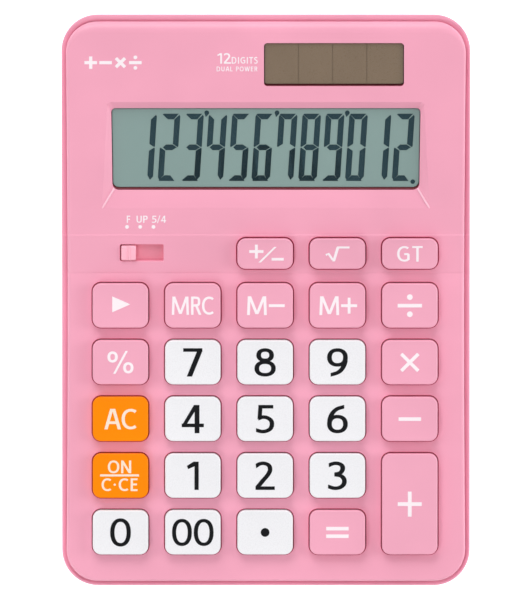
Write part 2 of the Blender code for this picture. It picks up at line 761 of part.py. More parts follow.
def make_switch():
    grip = outline(KNOB_HALF_X, -KNOB_HALF_V, KNOB_HALF_V, PLATE_CORNER, steps=SMALL_CORNER_STEPS)
    plate = outline(
        KNOB_FLANGE_HALF_X, -KNOB_FLANGE_HALF_V, KNOB_FLANGE_HALF_V, PLATE_CORNER, steps=SMALL_CORNER_STEPS,
    )
    stem = outline(STEM_HALF, -STEM_HALF, STEM_HALF, PLATE_CORNER, steps=SMALL_CORNER_STEPS)
    rings = [
        ring(stem, 0, -STEM_BOTTOM),
        ring(stem, 0, -KNOB_FLANGE_TOP - KNOB_FLANGE_THICK),
        ring(plate, 0, -KNOB_FLANGE_TOP - KNOB_FLANGE_THICK),
        ring(plate, 0, -KNOB_FLANGE_TOP),
        ring(grip, 0, -KNOB_FLANGE_TOP),
        ring(grip, 0, KNOB_RISE - KNOB_CHAMFER),
        ring(grip, KNOB_CHAMFER, KNOB_RISE),
    ]
    bm = bmesh.new()
    add_rings(bm, rings)
    knob = new_object("rounding_switch_knob", bm, "pink_key", SWITCH)
    groove = bmesh.new()
    low = (-KNOB_GROOVE / 2, -2 * KNOB_HALF_V, KNOB_RISE - KNOB_GROOVE_DEPTH)
    add_block(groove, low, (KNOB_GROOVE / 2, 2 * KNOB_HALF_V, 2 * KNOB_RISE))
    boolean(knob, helper("knob_groove", groove, SWITCH), "DIFFERENCE")

    arch = [(-2.4 * MM, 11.6 * MM), (-1.2 * MM, 12.7 * MM), (1.2 * MM, 12.7 * MM), (2.4 * MM, 11.6 * MM)]
    route = [(KNOB_X + x, z) for x, z in arch]
    make_strip("switch_contact", route, STRIP_THICK, 12.7 * MM, 15.3 * MM, "steel", along_x=True)


# Battery parts and wires

def make_cell():
    bm = bmesh.new()
    add_post(bm, (0, 0), [
        (CELL_RADIUS - 0.5 * MM, -CELL_HALF), (CELL_RADIUS, -CELL_HALF + 0.5 * MM),
        (CELL_RADIUS, CELL_HALF - 1.3 * MM), (CELL_RADIUS - 0.6 * MM, CELL_HALF - 0.7 * MM),
        (1.9 * MM, CELL_HALF - 0.7 * MM), (1.9 * MM, CELL_HALF + 0.4 * MM),
    ], sides=20)
    frame = Matrix.Translation((0, CELL_Y, CELL_Z)) @ Matrix.Rotation(math.pi / 2, 4, "Y")
    new_object("battery_cell", bm, "cell", frame)


def make_battery_contacts():
    for name, side, reach in (("positive", 1, 22.7 * MM), ("negative", -1, 22.3 * MM)):
        flat = side * 24.45 * MM
        route = [
            (flat, 5.0 * MM), (flat, 7.3 * MM), (side * reach, CELL_Z), (flat, 10.5 * MM), (flat, 12.1 * MM),
        ]
        low_y = CELL_Y - CONTACT_HALF_Y
        high_y = CELL_Y + CONTACT_HALF_Y
        make_strip("battery_contact_" + name, route, CONTACT_THICK, low_y, high_y, "steel", along_x=True)


def make_wire(name, stops, colour):
    """A round wire along a smooth curve through its stops."""
    points = [Vector(stop) * MM for stop in stops]
    padded = [2 * points[0] - points[1]] + points + [2 * points[-1] - points[-2]]
    smooth = []
    for a, b, c, d in zip(padded, padded[1:], padded[2:], padded[3:]):
        for k in range(WIRE_STEPS):
            t = k / WIRE_STEPS
            smooth.append(0.5 * (
                2 * b + (c - a) * t + (2 * a - 5 * b + 4 * c - d) * t * t + (3 * b - a - 3 * c + d) * t ** 3
            ))
    smooth.append(points[-1])
    curve = bpy.data.curves.new(name, "CURVE")
    curve.dimensions = "3D"
    curve.bevel_depth = WIRE_RADIUS
    curve.bevel_resolution = 1
    curve.use_fill_caps = True
    spline = curve.splines.new("POLY")
    spline.points.add(len(smooth) - 1)
    for point, place in zip(spline.points, smooth):
        point.co = (*place, 1.0)
    curve.materials.append(material(colour))
    bpy.context.collection.objects.link(bpy.data.objects.new(name, curve))


def make_wires():
    make_wire("battery_wire_positive", [
        (25.0, 54, 12.9), (28.2, 53.8, 12.7), (30.8, 49, 11.6), (31.2, 38, 10.6), (30.6, 28, 11.0), (30, 20.2, 12.4),
    ], "red_wire")
    make_wire("battery_wire_negative", [
        (-25.0, 54, 12.9), (-28.2, 53.8, 12.7), (-30.8, 49, 11.6), (-31.2, 38, 10.6), (-30.6, 28, 11.0),
        (-30, 20.2, 12.4),
    ], "black")
    make_wire("solar_wire_positive", [
        (32, 62, 24.2), (33.5, 60, 19), (34.5, 52, 13), (34.5, 38, 10.8), (34, 28, 11.0), (33.5, 20.2, 12.4),
    ], "red_wire")
    make_wire("solar_wire_negative", [
        (35.5, 62, 24.2), (37, 60, 19), (38, 52, 13), (38, 38, 10.8), (37.5, 28, 11.0), (37, 20.2, 12.4),
    ], "black")


# Feet and screws

def make_feet():
    for place, x, y in (
        ("front_left", -1, -1), ("front_right", 1, -1), ("rear_left", -1, 1), ("rear_right", 1, 1),
    ):
        bm = bmesh.new()
        add_post(bm, (0, 0), [
            (FOOT_RADIUS - FOOT_CHAMFER, 0), (FOOT_RADIUS, FOOT_CHAMFER),
            (FOOT_RADIUS, BASE_Z + FOOT_POCKET - GAP),
        ])
        new_object("foot_" + place, bm, "rubber", Matrix.Translation((x * FOOT_X, y * FOOT_Y, 0)))


def make_screw(name, frame, shank, head_radius, head_height):
    """A pan-head screw that points along its frame's Z, its head just under the frame's origin."""
    bm = bmesh.new()
    add_post(bm, (0, 0), [
        (0.7 * head_radius, -head_height), (head_radius, -0.7 * head_height), (head_radius, -GAP),
        (SHANK_RADIUS, -GAP), (SHANK_RADIUS, shank - SHANK_RADIUS), (0.3 * SHANK_RADIUS, shank),
    ], sides=12)
    new_object(name, bm, "steel", frame)


def make_screws():
    for side_name, side in (("left", -1), ("right", 1)):
        x = side * BOSS_X
        for end_name, y, v in zip(("front", "rear"), CASE_SCREW_YS, BOARD_SCREW_VS):
            seat = Matrix.Translation((x, y, face_z(y) - CASE_SEAT))
            make_screw(f"case_screw_{end_name}_{side_name}", seat, *CASE_SCREW)
            under = DECK @ Matrix.Translation((x, v, -BOARD_TOP - BOARD_THICK))
            make_screw(f"board_screw_{end_name}_{side_name}", under, *BOARD_SCREW)


def main():
    clear_scene()
    make_top_case()
    make_bottom_case()
    make_battery_cover()
    make_display()
    make_lcd_connector()
    make_solar()
    for key in key_layout():
        make_key(*key)
    make_circuit_board()
    make_chip_blob()
    make_key_mat()
    make_switch()
    make_cell()
    make_battery_contacts()
    make_wires()
    make_feet()
    make_screws()


main()
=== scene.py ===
"""Looks of the desk calculator: fine shells, keys with their legends, display, materials, light and camera.

Shapes are worked out in millimetres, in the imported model's own frame. A finished piece is scaled to metres.
"""

import math

import bmesh
import bpy
from mathutils import Matrix, Vector
from mathutils.geometry import delaunay_2d_cdt


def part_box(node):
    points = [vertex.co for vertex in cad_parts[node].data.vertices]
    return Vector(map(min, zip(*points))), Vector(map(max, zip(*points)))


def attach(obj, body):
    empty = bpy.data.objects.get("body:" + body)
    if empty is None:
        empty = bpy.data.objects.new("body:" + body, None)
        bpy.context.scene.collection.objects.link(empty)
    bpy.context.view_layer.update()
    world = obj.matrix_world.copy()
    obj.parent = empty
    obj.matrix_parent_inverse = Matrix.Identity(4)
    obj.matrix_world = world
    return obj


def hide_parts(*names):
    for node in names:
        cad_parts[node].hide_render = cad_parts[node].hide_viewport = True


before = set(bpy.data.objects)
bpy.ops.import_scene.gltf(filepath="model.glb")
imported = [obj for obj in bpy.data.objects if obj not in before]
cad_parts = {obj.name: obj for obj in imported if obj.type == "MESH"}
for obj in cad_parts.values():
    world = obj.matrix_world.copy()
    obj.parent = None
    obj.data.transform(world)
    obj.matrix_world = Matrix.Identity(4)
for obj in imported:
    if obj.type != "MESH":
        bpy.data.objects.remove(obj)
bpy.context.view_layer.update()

MM = 0.001

# Outline, in millimetres like every size before the stage. The main dimensions are the CAD's own; edges, the
# dark rings that paint shade in the gaps round keys and windows, and what lies behind the windows are finer
# here.
BODY_HALF_WIDTH = 53.6
BODY_HALF_LENGTH = 74.95
BODY_CORNER = 9.5
WAIST = 0.008  # share by which the top case's sides draw in at their middle
TOP_HALF_WIDTH = 52.5
TOP_FRONT = -73.75
TOP_REAR = 73.15
TOP_CORNER = 8.4
WALL = 2.0
GAP = 0.3

# Side profile of the face
DECK_FRONT_Z = 12.0
DECK_TILT = math.radians(4.0)
BAND_TILT = math.radians(14.5)
DISPLAY_TILT = math.radians(12.0)
BAND_Y = 7.2
CREST_Y = 17.1
CREASE = 0.2  # half the width over which one facet turns into the next
CREST_STEP = 0.17  # the display facet starts this much below the band's rear edge
BAND_STEP = 0.1  # the deck ends this much below the band's front edge

# Edges of the shells
EDGE_ACROSS = {"front": 0.5, "side": 0.95, "rear": 3.2}
EDGE_DOWN = {"side": 0.6, "rear": 2.4}
SIDE_HEIGHT = 2.6
LIP_DEPTH = 0.7
BASE_Z = 1.2
BASE_ROUND = 2.0
BASE_DRAFT = 0.9
RIM_DROP = 0.9
RIM_INSET = 0.35
RIM_SLOPE = 0.35  # slanted inner edge of the rim
SLIT = 0.08  # clear width between the cases under that edge

# Keys
KEY_CORNER = 2.2
KEY_RISE = 2.2
KEY_EDGE = 0.34  # rounding of a cap's upper edge
KEY_WALL = 1.1
KEY_FLANGE = 0.5
KEY_FLANGE_THICK = 0.8
POST_HALF = 1.8
DISH = 0.22
LIP = 0.14  # rounding round each opening of the face
WELL_DEPTH = 0.2  # the painted-shade ring round a key starts this far below the face
WELL_THICK = 0.15
WELL_BURIED = 0.1  # how far it is let into the case

# Display, solar window and switch slot
WINDOW_Y = 39.4
WINDOW_HALF_X = 40.4
WINDOW_HALF_V = 10.94
BEVEL_SIDE = 2.1
BEVEL_FRONT = 5.0
BEVEL_SPREAD = 0.9  # the recess is this much wider at its front on each side, and narrower at its rear
WINDOW_TAPER = 0.15  # the window is narrower at its front
BEVEL_DEPTH = 1.45  # a little deeper than in the CAD, so that the recess shows
BEVEL_EDGE = 0.97  # share of the way up at which the slopes turn into the face
WINDOW_CORNER = 1.1
WINDOW_FRONT_CORNER = 1.7
BEVEL_CORNER = 0.6
MITRE_RIB = 0.28
MITRE_SUNK = 0.06  # how far a rib's middle is under the surface
SOLAR_X = 17.85
SOLAR_Y = 61.75
SOLAR_HALF_X = 18.35
SOLAR_HALF_V = 5.75
SOLAR_CORNER = 0.9
SLOT_X = -32.6
SLOT_Y = 12.5
SLOT_HALF_X = 5.7
SLOT_HALF_V = 2.25
PLATE_HALF_X = 9.8  # the knob's plate, which closes the slot
PLATE_HALF_V = 3.0
PLATE_RISE = 1.1  # the shell is this much thinner over the plate

# Behind the windows
DISPLAY_LIP = 0.55  # the painted-shade linings' front edges show this much of themselves
SOLAR_LIP = 0.4
SHADE_LINING_DEPTH = 2.2
SHADE_LINING_BURIED = 0.5  # how far a painted-shade lining is let into the case
SHADE_LINING_SLANT = 0.25
DISPLAY_SUNK = 0.5  # the raised middles end this much below their window's edge
SOLAR_SUNK = 0.6
PLATE_CORNER = 0.8
PLUG_GAP = 0.06  # clear line round the raised middle of a window plate
PLUG_SKIN = 0.08  # thickness of that hollow middle
PLUG_EDGE = 0.06
PANEL_GAP = 0.03  # clear line between that middle and the panel inside it
PANEL_EDGE = 0.05
PANEL_DROP = 0.05  # the panel ends this much below the hollow's ceiling
PANEL_CLEAR = 0.15  # and its shoulder this much below the plate
GLASS_LIFT = 0.02  # the front glass starts this much above the CAD's panel
CELL_LIFT = 0.01
GLASS_HALF_X = 41.2
GLASS_HALF_V = 12.0
HOLDER_HALF_X = 44.5
HOLDER_HALF_V = 14.5
HOLDER_BOTTOM = -5.6  # heights over the display facet
HOLDER_TOP = -3.6
HOLDER_EDGE = 0.25
CELL_COUNT = 4  # of the solar panel
CELL_PITCH = 8.95
CELL_SHIFT = -0.35  # the cells stand this much off the window's middle
CELL_GROOVE = 0.2
CELL_GROOVE_DEPTH = 0.12

# Display
LCD_TEXT = "123'456'789'012."
LCD_PITCH = 6.145
LCD_DIGIT_WIDTH = 4.85
LCD_DIGIT_HEIGHT = 18.0
LCD_STROKE = 1.5
LCD_SLANT = 0.064
LCD_BREAK = 0.07  # half the clear line between two segments
LCD_LAST_RIGHT = 39.05
LCD_LOW_V = -8.66
SEGMENTS = {
    "0": "abcdef", "1": "bc", "2": "abged", "3": "abgcd", "4": "fgbc", "5": "afgcd", "6": "afgecd",
    "7": "fabc", "8": "abcdefg", "9": "abcdfg",
}

# Switch knob
KNOB_HALF = 1.95
KNOB_EDGE = 0.4
KNOB_GROOVE = 0.8  # radius of the groove in its top
KNOB_STEM_HALF = 1.5
KNOB_PLATE_THICK = 0.8

# Screws, feet and battery bay
BOSS_X = 48.0
BOSS_RADIUS = 1.75
PILOT_RADIUS = 1.15
CASE_SCREW_YS = (-30.0, 50.0)
BOARD_SCREW_VS = (-54.0, -2.0)
CASE_SEAT = 11.4
BASE_BOSS_RADIUS = 3.0
BASE_BOSS_TOP = 7.05
BOARD_TOP = 7.1
COUNTERBORE = 2.4
FOOT_X = 42.0
FOOT_Y = 62.0
FOOT_RADIUS = 4.0
FOOT_EDGE = 0.4
FOOT_POCKET = 0.8
CELL_Y = 54.0
CAVITY_HALF_X = 25.0
CAVITY_HALF_Y = 7.5
CAVITY_TOP = 14.1
COVER_FRONT = 44.6
COVER_TOP = 3.1
COVER_HALF_X = 23.7
COVER_TONGUE = 2.0
COVER_STEP_Z = 2.5
COVER_RIBS = 5
COVER_RIB_Y = 50.5
COVER_RIB_PITCH = 2.4
COVER_RIB_HALF = (9.0, 0.5)
WIRE_NOTCH_Z = (11.9, 13.7)  # through the walls of the battery bay


# ---- materials

def texture(tree, size, detail=2.0, stretch=(1.0, 1.0, 1.0)):
    """Noise with features of a given size in millimetres, fixed to the object."""
    place = tree.nodes.new("ShaderNodeTexCoord")
    mapping = tree.nodes.new("ShaderNodeMapping")
    mapping.inputs["Scale"].default_value = stretch
    noise = tree.nodes.new("ShaderNodeTexNoise")
    noise.inputs["Scale"].default_value = 1 / (size * MM)
    noise.inputs["Detail"].default_value = detail
    tree.links.new(place.outputs["Object"], mapping.inputs["Vector"])
    tree.links.new(mapping.outputs["Vector"], noise.inputs["Vector"])
    return noise.outputs["Fac"]


def spread(tree, value, low, high):
    """The noise's middle range drawn out between two values."""
    ramp = tree.nodes.new("ShaderNodeMapRange")
    for socket, setting in (("From Min", 0.3), ("From Max", 0.7), ("To Min", low), ("To Max", high)):
        ramp.inputs[socket].default_value = setting
    tree.links.new(value, ramp.inputs["Value"])
    return ramp.outputs["Result"]


def surface(
    name, colour, roughness, grain=0.3, relief=0.004, drift=0.03, drift_size=22.0, stretch=(1, 1, 1),
    specular=0.5, metallic=0.0,
):
    """A moulded, painted or metal surface: fine relief, and a slow drift in its colour and its gloss."""
    look = bpy.data.materials.new(name)
    look.use_nodes = True
    tree = look.node_tree
    shader = tree.nodes["Principled BSDF"]
    slow = texture(tree, drift_size)
    mix = tree.nodes.new("ShaderNodeMix")
    mix.data_type = "RGBA"
    mix.inputs[6].default_value = (*[c * (1 - drift) for c in colour], 1)
    mix.inputs[7].default_value = (*[min(1.0, c * (1 + drift)) for c in colour], 1)
    tree.links.new(spread(tree, slow, 0, 1), mix.inputs[0])
    tree.links.new(mix.outputs[2], shader.inputs["Base Color"])
    fine = texture(tree, grain, 1.0, stretch)
    tree.links.new(spread(tree, fine, roughness * 0.88, roughness * 1.12), shader.inputs["Roughness"])
    bump = tree.nodes.new("ShaderNodeBump")
    bump.inputs["Strength"].default_value = 1.0
    bump.inputs["Distance"].default_value = relief * MM
    tree.links.new(fine, bump.inputs["Height"])
    tree.links.new(bump.outputs["Normal"], shader.inputs["Normal"])
    shader.inputs["Specular IOR Level"].default_value = specular
    shader.inputs["Metallic"].default_value = metallic
    look.diffuse_color = (*colour, 1)
    return look


def clear_plastic(name, tint):
    """A thin clear plate: it mirrors more the flatter it is seen, and lets the rest through."""
    head_on = 0.01
    edge_on = 0.6
    look = surface(name, tint, 0.05, grain=4.0, relief=0.001, drift=0.01, metallic=1.0)
    tree = look.node_tree
    facing = tree.nodes.new("ShaderNodeLayerWeight")
    facing.inputs["Blend"].default_value = 0.5
    steps = [facing.outputs["Facing"]]
    for operation, settings in (("POWER", (5.0,)), ("MULTIPLY_ADD", (edge_on, head_on))):
        step = tree.nodes.new("ShaderNodeMath")
        step.operation = operation
        for place, setting in enumerate(settings):
            step.inputs[place + 1].default_value = setting
        tree.links.new(steps[-1], step.inputs[0])
        steps.append(step.outputs["Value"])
    tree.links.new(steps[-1], tree.nodes["Principled BSDF"].inputs["Alpha"])
    return look


SMOOTH = {"grain": 0.25, "relief": 0.002}
INK = {"grain": 0.12, "relief": 0.002}
LOOKS = {
    "case": surface("moulded_pink", (0.85, 0.357, 0.484), 0.42, grain=0.35),
    # Dark pink that paints shade: the linings inside the windows and the display's holder frame
    "painted_shade_pink": surface("painted_shade_dark_pink", (0.15, 0.016, 0.026), 0.5, grain=0.35),
    # Lighter pink that paints a highlight on the mitre lines of the display recess
    "painted_highlight_pink": surface("painted_highlight_mitre_pink", (0.95, 0.56, 0.67), 0.35, **SMOOTH),
    # Dark red that paints the shade in the gaps round the keys
    "gap_shade_pink": surface("gap_shade_pink", (0.46, 0.02, 0.075), 0.6, relief=0.003, specular=0.15),
    "knob_pink": surface("knob_pink", (0.97, 0.47, 0.58), 0.35, **SMOOTH),
    # Darker, redder pink on the knob's plate that paints the shade on the slot's floor
    "slot_floor_shade_pink": surface("slot_floor_shade_pink", (0.80, 0.25, 0.34), 0.5, relief=0.003),
    "pink_key": surface("key_pink", (0.845, 0.375, 0.50), 0.32, **SMOOTH),
    "white_key": surface("key_white", (0.825, 0.82, 0.845), 0.28, drift=0.01, **SMOOTH),
    "orange_key": surface("key_orange", (1.0, 0.245, 0.001), 0.30, drift=0.02, specular=0.12, **SMOOTH),
    "black_ink": surface("legend_black", (0.007, 0.0075, 0.009), 0.55, drift=0.15, specular=0.1, **INK),
    "white_ink": surface("legend_white", (0.92, 0.82, 0.86), 0.45, drift=0.02, **INK),
    "cream_ink": surface("legend_cream", (0.90, 0.74, 0.60), 0.45, drift=0.02, **INK),
    "clear": clear_plastic("clear_acrylic", (0.92, 0.95, 0.95)),
    "lcd": surface(
        "lcd_polariser", (0.243, 0.343, 0.325), 0.38, grain=0.2, relief=0.001, drift_size=35, specular=0.2,
    ),
    "lcd_ink": surface(
        "lcd_segments", (0.022, 0.050, 0.062), 0.45, grain=0.2, relief=0.001, drift=0.05, specular=0.1,
    ),
    "solar": surface(
        "solar_cells", (0.211, 0.153, 0.104), 0.30, grain=0.4, relief=0.001, drift_size=9, specular=0.3,
    ),
    "solar_gap": surface("solar_glass", (0.15, 0.108, 0.075), 0.30, grain=0.4, relief=0.001, drift=0.05),
    "board": surface(
        "solder_mask", (0.035, 0.16, 0.06), 0.35, grain=0.6, relief=0.006, drift=0.12, drift_size=6,
    ),
    "epoxy": surface(
        "chip_epoxy", (0.012, 0.012, 0.013), 0.25, grain=0.8, relief=0.01, drift=0.2, drift_size=3,
    ),
    "silicone": surface("silicone_mat", (0.55, 0.56, 0.55), 0.62, grain=0.5, relief=0.006, drift=0.04),
    "rubber": surface(
        "foot_rubber", (0.10, 0.10, 0.105), 0.78, grain=0.25, relief=0.02, drift=0.12, drift_size=3,
    ),
    "ribbon": surface(
        "polyimide", (0.55, 0.24, 0.05), 0.32, grain=0.7, relief=0.003, drift=0.1, drift_size=4,
        stretch=(8, 1, 1),
    ),
    "red_wire": surface("wire_red", (0.48, 0.02, 0.02), 0.42, relief=0.003, drift=0.08),
    "black_wire": surface("wire_black", (0.02, 0.02, 0.02), 0.42, relief=0.003, drift=0.1),
    "cell": surface("cell_sleeve", (0.06, 0.11, 0.30), 0.30, grain=0.6, drift=0.08, metallic=0.4),
    "steel": surface(
        "zinc_steel", (0.62, 0.61, 0.58), 0.32, grain=0.15, relief=0.006, drift=0.08, stretch=(1, 6, 1),
        metallic=1.0,
    ),
}


# ---- shapes

def outline(half_width, front, rear, radius, levels=(), steps=8, waist=0.0, front_radius=None):
    """(place, outward normal) pairs anticlockwise from the front right corner, mirrored in X."""
    right = []
    front_radius = front_radius or radius
    for corner, centre_y, start in ((front_radius, front + front_radius, -90), (radius, rear - radius, 0)):
        if start == 0:
            right.extend(((half_width, y), (1.0, 0.0)) for y in levels)
        for k in range(steps + 1):
            turn = math.radians(start + 90 * k / steps)
            normal = (math.cos(turn), math.sin(turn))
            right.append(((half_width - corner + corner * normal[0], centre_y + corner * normal[1]), normal))
    half = (rear - front) / 2
    bowed = []
    for (x, y), normal in right:
        share = 1 - waist * (1 - min(1.0, abs(y) / half) ** 2)
        bowed.append(((x * share, y), normal))
    left = [((-x, y), (-nx, ny)) for (x, y), (nx, ny) in reversed(bowed)]
    return bowed + left


def oblong(half_x, half_y, corner):
    """The outline of a rounded rectangle round the origin."""
    return outline(half_x, -half_y, half_y, corner)


def ring(path, inset=0.0, height=0.0, scale=1.0):
    """The outline moved in and scaled; inset may depend on the normal's y, height on the place and that."""
    places = []
    for (x, y), (nx, ny) in path:
        inward = inset(ny) if callable(inset) else inset
        px = scale * (x - nx * inward)
        py = scale * (y - ny * inward)
        places.append(Vector((px, py, height(px, py, ny) if callable(height) else height)))
    return places


def skin(bm, rings, place=None):
    """A closed solid over the rings; the first is capped facing down and the last facing up."""
    place = place or Matrix()
    rows = [[bm.verts.new(place @ point) for point in points] for points in rings]
    count = len(rows[0])
    for lower, upper in zip(rows, rows[1:]):
        for i in range(count):
            j = (i + 1) % count
            bm.faces.new((lower[i], lower[j], upper[j], upper[i]))
    for row, upward in ((rows[0], False), (rows[-1], True)):
        for i in range(count // 2 - 1):
            rung = (row[i], row[i + 1], row[-2 - i], row[-1 - i])
            bm.faces.new(rung if upward else rung[::-1])


def tube(bm, rings, place):
    """A closed ring-shaped solid over rings that go once round its section."""
    rows = [[bm.verts.new(place @ point) for point in points] for points in rings]
    for row, after in zip(rows, rows[1:] + rows[:1]):
        for i in range(len(row)):
            j = (i + 1) % len(row)
            bm.faces.new((row[i], row[j], after[j], after[i]))


def block(bm, low, high, place=None):
    corners = ((high[0], low[1]), (high[0], high[1]), (low[0], high[1]), (low[0], low[1]))
    skin(bm, [[Vector((*corner, z)) for corner in corners] for z in (low[2], high[2])], place)


def turned(bm, centre, sections, place=None, sides=40):
    """A turned solid along Z: sections are (radius, height) pairs from its bottom to its top."""
    rings = []
    x, y = centre
    turns = [-math.pi / 2 + math.tau * (k + 0.5) / sides for k in range(sides)]
    for radius, height in sections:
        rings.append([Vector((x + radius * math.cos(t), y + radius * math.sin(t), height)) for t in turns])
    skin(bm, rings, place)


def solid(maker, *settings):
    """A new mesh with what the maker puts into it."""
    bm = bmesh.new()
    maker(bm, *settings)
    return bm


def quarter(steps, start=0, end=90):
    """(sine, cosine) at even steps of a turn, for a rounded edge."""
    turns = [math.radians(start + (end - start) * k / steps) for k in range(steps + 1)]
    return [(math.sin(t), math.cos(t)) for t in turns]


def mesh_of(name, bm):
    mesh = bpy.data.meshes.new(name)
    bm.to_mesh(mesh)
    bm.free()
    return mesh


def add_item(name, data):
    item = bpy.data.objects.new(name, data)
    bpy.context.collection.objects.link(item)
    return item


def boolean(bm, tool, operation):
    """The first shape joined with or cut by the second."""
    items = [add_item("operand", mesh_of("operand", shape)) for shape in (bm, tool)]
    step = items[0].modifiers.new("step", "BOOLEAN")
    step.operation = operation
    step.object = items[1]
    step.solver = "EXACT"
    bpy.context.view_layer.update()
    cut = items[0].evaluated_get(bpy.context.evaluated_depsgraph_get())
    result = bmesh.new()
    result.from_mesh(cut.to_mesh())
    cut.to_mesh_clear()
    for item in items:
        mesh = item.data
        bpy.data.objects.remove(item)
        bpy.data.meshes.remove(mesh)
    return result


def piece(name, bm, look, nodes=(), body="housing", weighted=False):
    """A finished mesh, scaled to metres, that rides on its body and stands for CAD nodes."""
    bm.transform(Matrix.Scale(MM, 4))
    mesh = mesh_of(name, bm)
    mesh.materials.append(LOOKS[look])
    mesh.shade_smooth()
    mesh.set_sharp_from_angle(angle=math.radians(32))
    made = add_item(name, mesh)
    if weighted:
        normals = made.modifiers.new("face_weighted_normals", "WEIGHTED_NORMAL")
        normals.keep_sharp = True
        normals.weight = 80
    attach(made, body)
    if nodes:
        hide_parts(*nodes)


# ---- the face

def facet_z(y):
    """Height of the face with sharp creases."""
    rise = (min(y, BAND_Y) - TOP_FRONT) * math.tan(DECK_TILT)
    rise += max(0.0, min(y, CREST_Y) - BAND_Y) * math.tan(BAND_TILT)
    rise += max(0.0, y - CREST_Y) * math.tan(DISPLAY_TILT)
    return DECK_FRONT_Z + rise


def soft_step(distance):
    """Distance past a crease, rounded where the facet turns."""
    if distance <= -CREASE:
        return 0.0
    if distance >= CREASE:
        return distance
    return (distance + CREASE) ** 2 / (4 * CREASE)


def past(y, crease_y):
    """How far the face has come over a crease, from 0 to 1."""
    return (soft_step(y - crease_y) - soft_step(y - crease_y - CREASE)) / CREASE


def face_z(y):
    """Height of the face as it is made."""
    rise = (y - TOP_FRONT) * math.tan(DECK_TILT)
    rise += soft_step(y - BAND_Y) * (math.tan(BAND_TILT) - math.tan(DECK_TILT))
    rise += soft_step(y - CREST_Y) * (math.tan(DISPLAY_TILT) - math.tan(BAND_TILT))
    return DECK_FRONT_Z + rise - CREST_STEP * past(y, CREST_Y) - BAND_STEP * (1 - past(y, BAND_Y))


def on_face(x, y, tilt, height=facet_z):
    """A frame on the outer face, with Z along the normal of a facet of that tilt."""
    return Matrix.Translation((x, y, height(y))) @ Matrix.Rotation(tilt, 4, "X")


def parting_z(x, y, ny):
    return face_z(y) - SIDE_HEIGHT


def side_levels():
    """Places along the sides: close together over the creases, and enough for the waist."""
    creases = [at + CREASE * k / 3 for at in (BAND_Y, CREST_Y) for k in range(-3, 7)]
    return sorted(creases + [-56, -47, -38, -29, -20, -11, -3, 12, 24, 33, 42, 51, 58])


def top_path():
    return outline(TOP_HALF_WIDTH, TOP_FRONT, TOP_REAR, TOP_CORNER, side_levels(), steps=14, waist=WAIST)


def base_path():
    return outline(BODY_HALF_WIDTH, -BODY_HALF_LENGTH, BODY_HALF_LENGTH, BODY_CORNER, side_levels(), steps=14)


DECK = on_face(0, 0, DECK_TILT)
DISPLAY = on_face(0, WINDOW_Y, DISPLAY_TILT)
SOLAR = on_face(SOLAR_X, SOLAR_Y, DISPLAY_TILT)
SLOT = on_face(SLOT_X, SLOT_Y, BAND_TILT)


def tilted_box(node, tilt):
    """Lowest and highest corners of a CAD node, in millimetres, in axes turned by a facet's tilt."""
    turn = Matrix.Rotation(-tilt, 3, "X")
    places = [turn @ vertex.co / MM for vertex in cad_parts[node].data.vertices]
    low = Vector([min(place[k] for place in places) for k in range(3)])
    high = Vector([max(place[k] for place in places) for k in range(3)])
    return low, high


def heights(node, place, tilt=DISPLAY_TILT):
    """Heights of a CAD node's underside and top over a face frame of that tilt."""
    low, high = tilted_box(node, tilt)
    face = (Matrix.Rotation(-tilt, 3, "X") @ place.translation).z
    return low.z - face, high.z - face


class Key:
    """Size and place of a key cap, from its CAD node."""

    def __init__(self, node):
        low, high = tilted_box(node, DECK_TILT)
        self.half_x = (high.x - low.x) / 2 - KEY_FLANGE
        self.half_v = (high.y - low.y) / 2 - KEY_FLANGE
        middle = (high.y + low.y) / 2
        y = middle
        for _ in range(12):  # settles where the key's axis meets the face
            y = (middle - facet_z(y) * math.sin(DECK_TILT)) / math.cos(DECK_TILT)
        self.slope = math.tan(BAND_TILT - DECK_TILT) if y > BAND_Y else 0.0
        self.frame = on_face((high.x + low.x) / 2, y, DECK_TILT)
        self.post_bottom = heights(node, self.frame, DECK_TILT)[0]

    def top(self, x, v, _=0.0):
        """Height of the finger face: a shallow dish that fades out towards the rounded edge."""
        across = min(1.0, abs(x) / (self.half_x - KEY_EDGE)) ** 4
        along = min(1.0, abs(v) / (self.half_v - KEY_EDGE)) ** 4
        return KEY_RISE + self.slope * v - DISH * (1 - across) * (1 - along)

    def leaning(self, base):
        """A height over the deck that follows the band's slope."""
        return lambda x, v, _: base + self.slope * v

    def hole(self):
        return oblong(self.half_x + GAP, self.half_v + GAP, KEY_CORNER + GAP)


KEYS = {name: Key(name) for name in sorted(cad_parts) if name.startswith("key_") and name != "key_mat"}


def colour_of(name):
    if name in ("key_all_clear", "key_on_clear"):
        return "orange"
    return "white" if name[4:].isdigit() or name == "key_point" else "pink"


# ---- top case

def opening(bm, path, place, depth, slope=0.0):
    """A cutter through the face whose upper end flares, so that the edge it leaves is rounded."""
    def at(height):
        return lambda x, v, _: height + slope * v

    rings = [ring(path, 0, at(-depth))]
    for sine, cosine in quarter(3, 0, 60):
        rings.append(ring(path, -LIP * (1 - cosine), at(-LIP * (1 - sine))))
    rings.append(ring(path, -1.6 * LIP, at(0.5 * LIP)))
    skin(bm, rings, place)


def solar_path():
    return oblong(SOLAR_HALF_X, SOLAR_HALF_V, SOLAR_CORNER)


def recess_path(share):
    """The display recess, from share 0 at the window to share 1 at the face.

    The window is a little wider at its rear, and the recess at its front.
    """
    front = -WINDOW_HALF_V - share * BEVEL_FRONT
    rear = WINDOW_HALF_V + share * BEVEL_SIDE
    rear_corner = WINDOW_CORNER + share * (BEVEL_CORNER - WINDOW_CORNER)
    front_corner = WINDOW_FRONT_CORNER + share * (BEVEL_CORNER - WINDOW_FRONT_CORNER)
    path = outline(
        WINDOW_HALF_X + share * BEVEL_SIDE, front, rear, rear_corner, front_radius=front_corner,
    )
    wider = share * BEVEL_SPREAD - WINDOW_TAPER
    found = []
    for (x, y), normal in path:
        outward = wider * (1 - 2 * (y - front) / (rear - front))
        found.append(((x + outward if x > 0 else x - outward, y), normal))
    return found


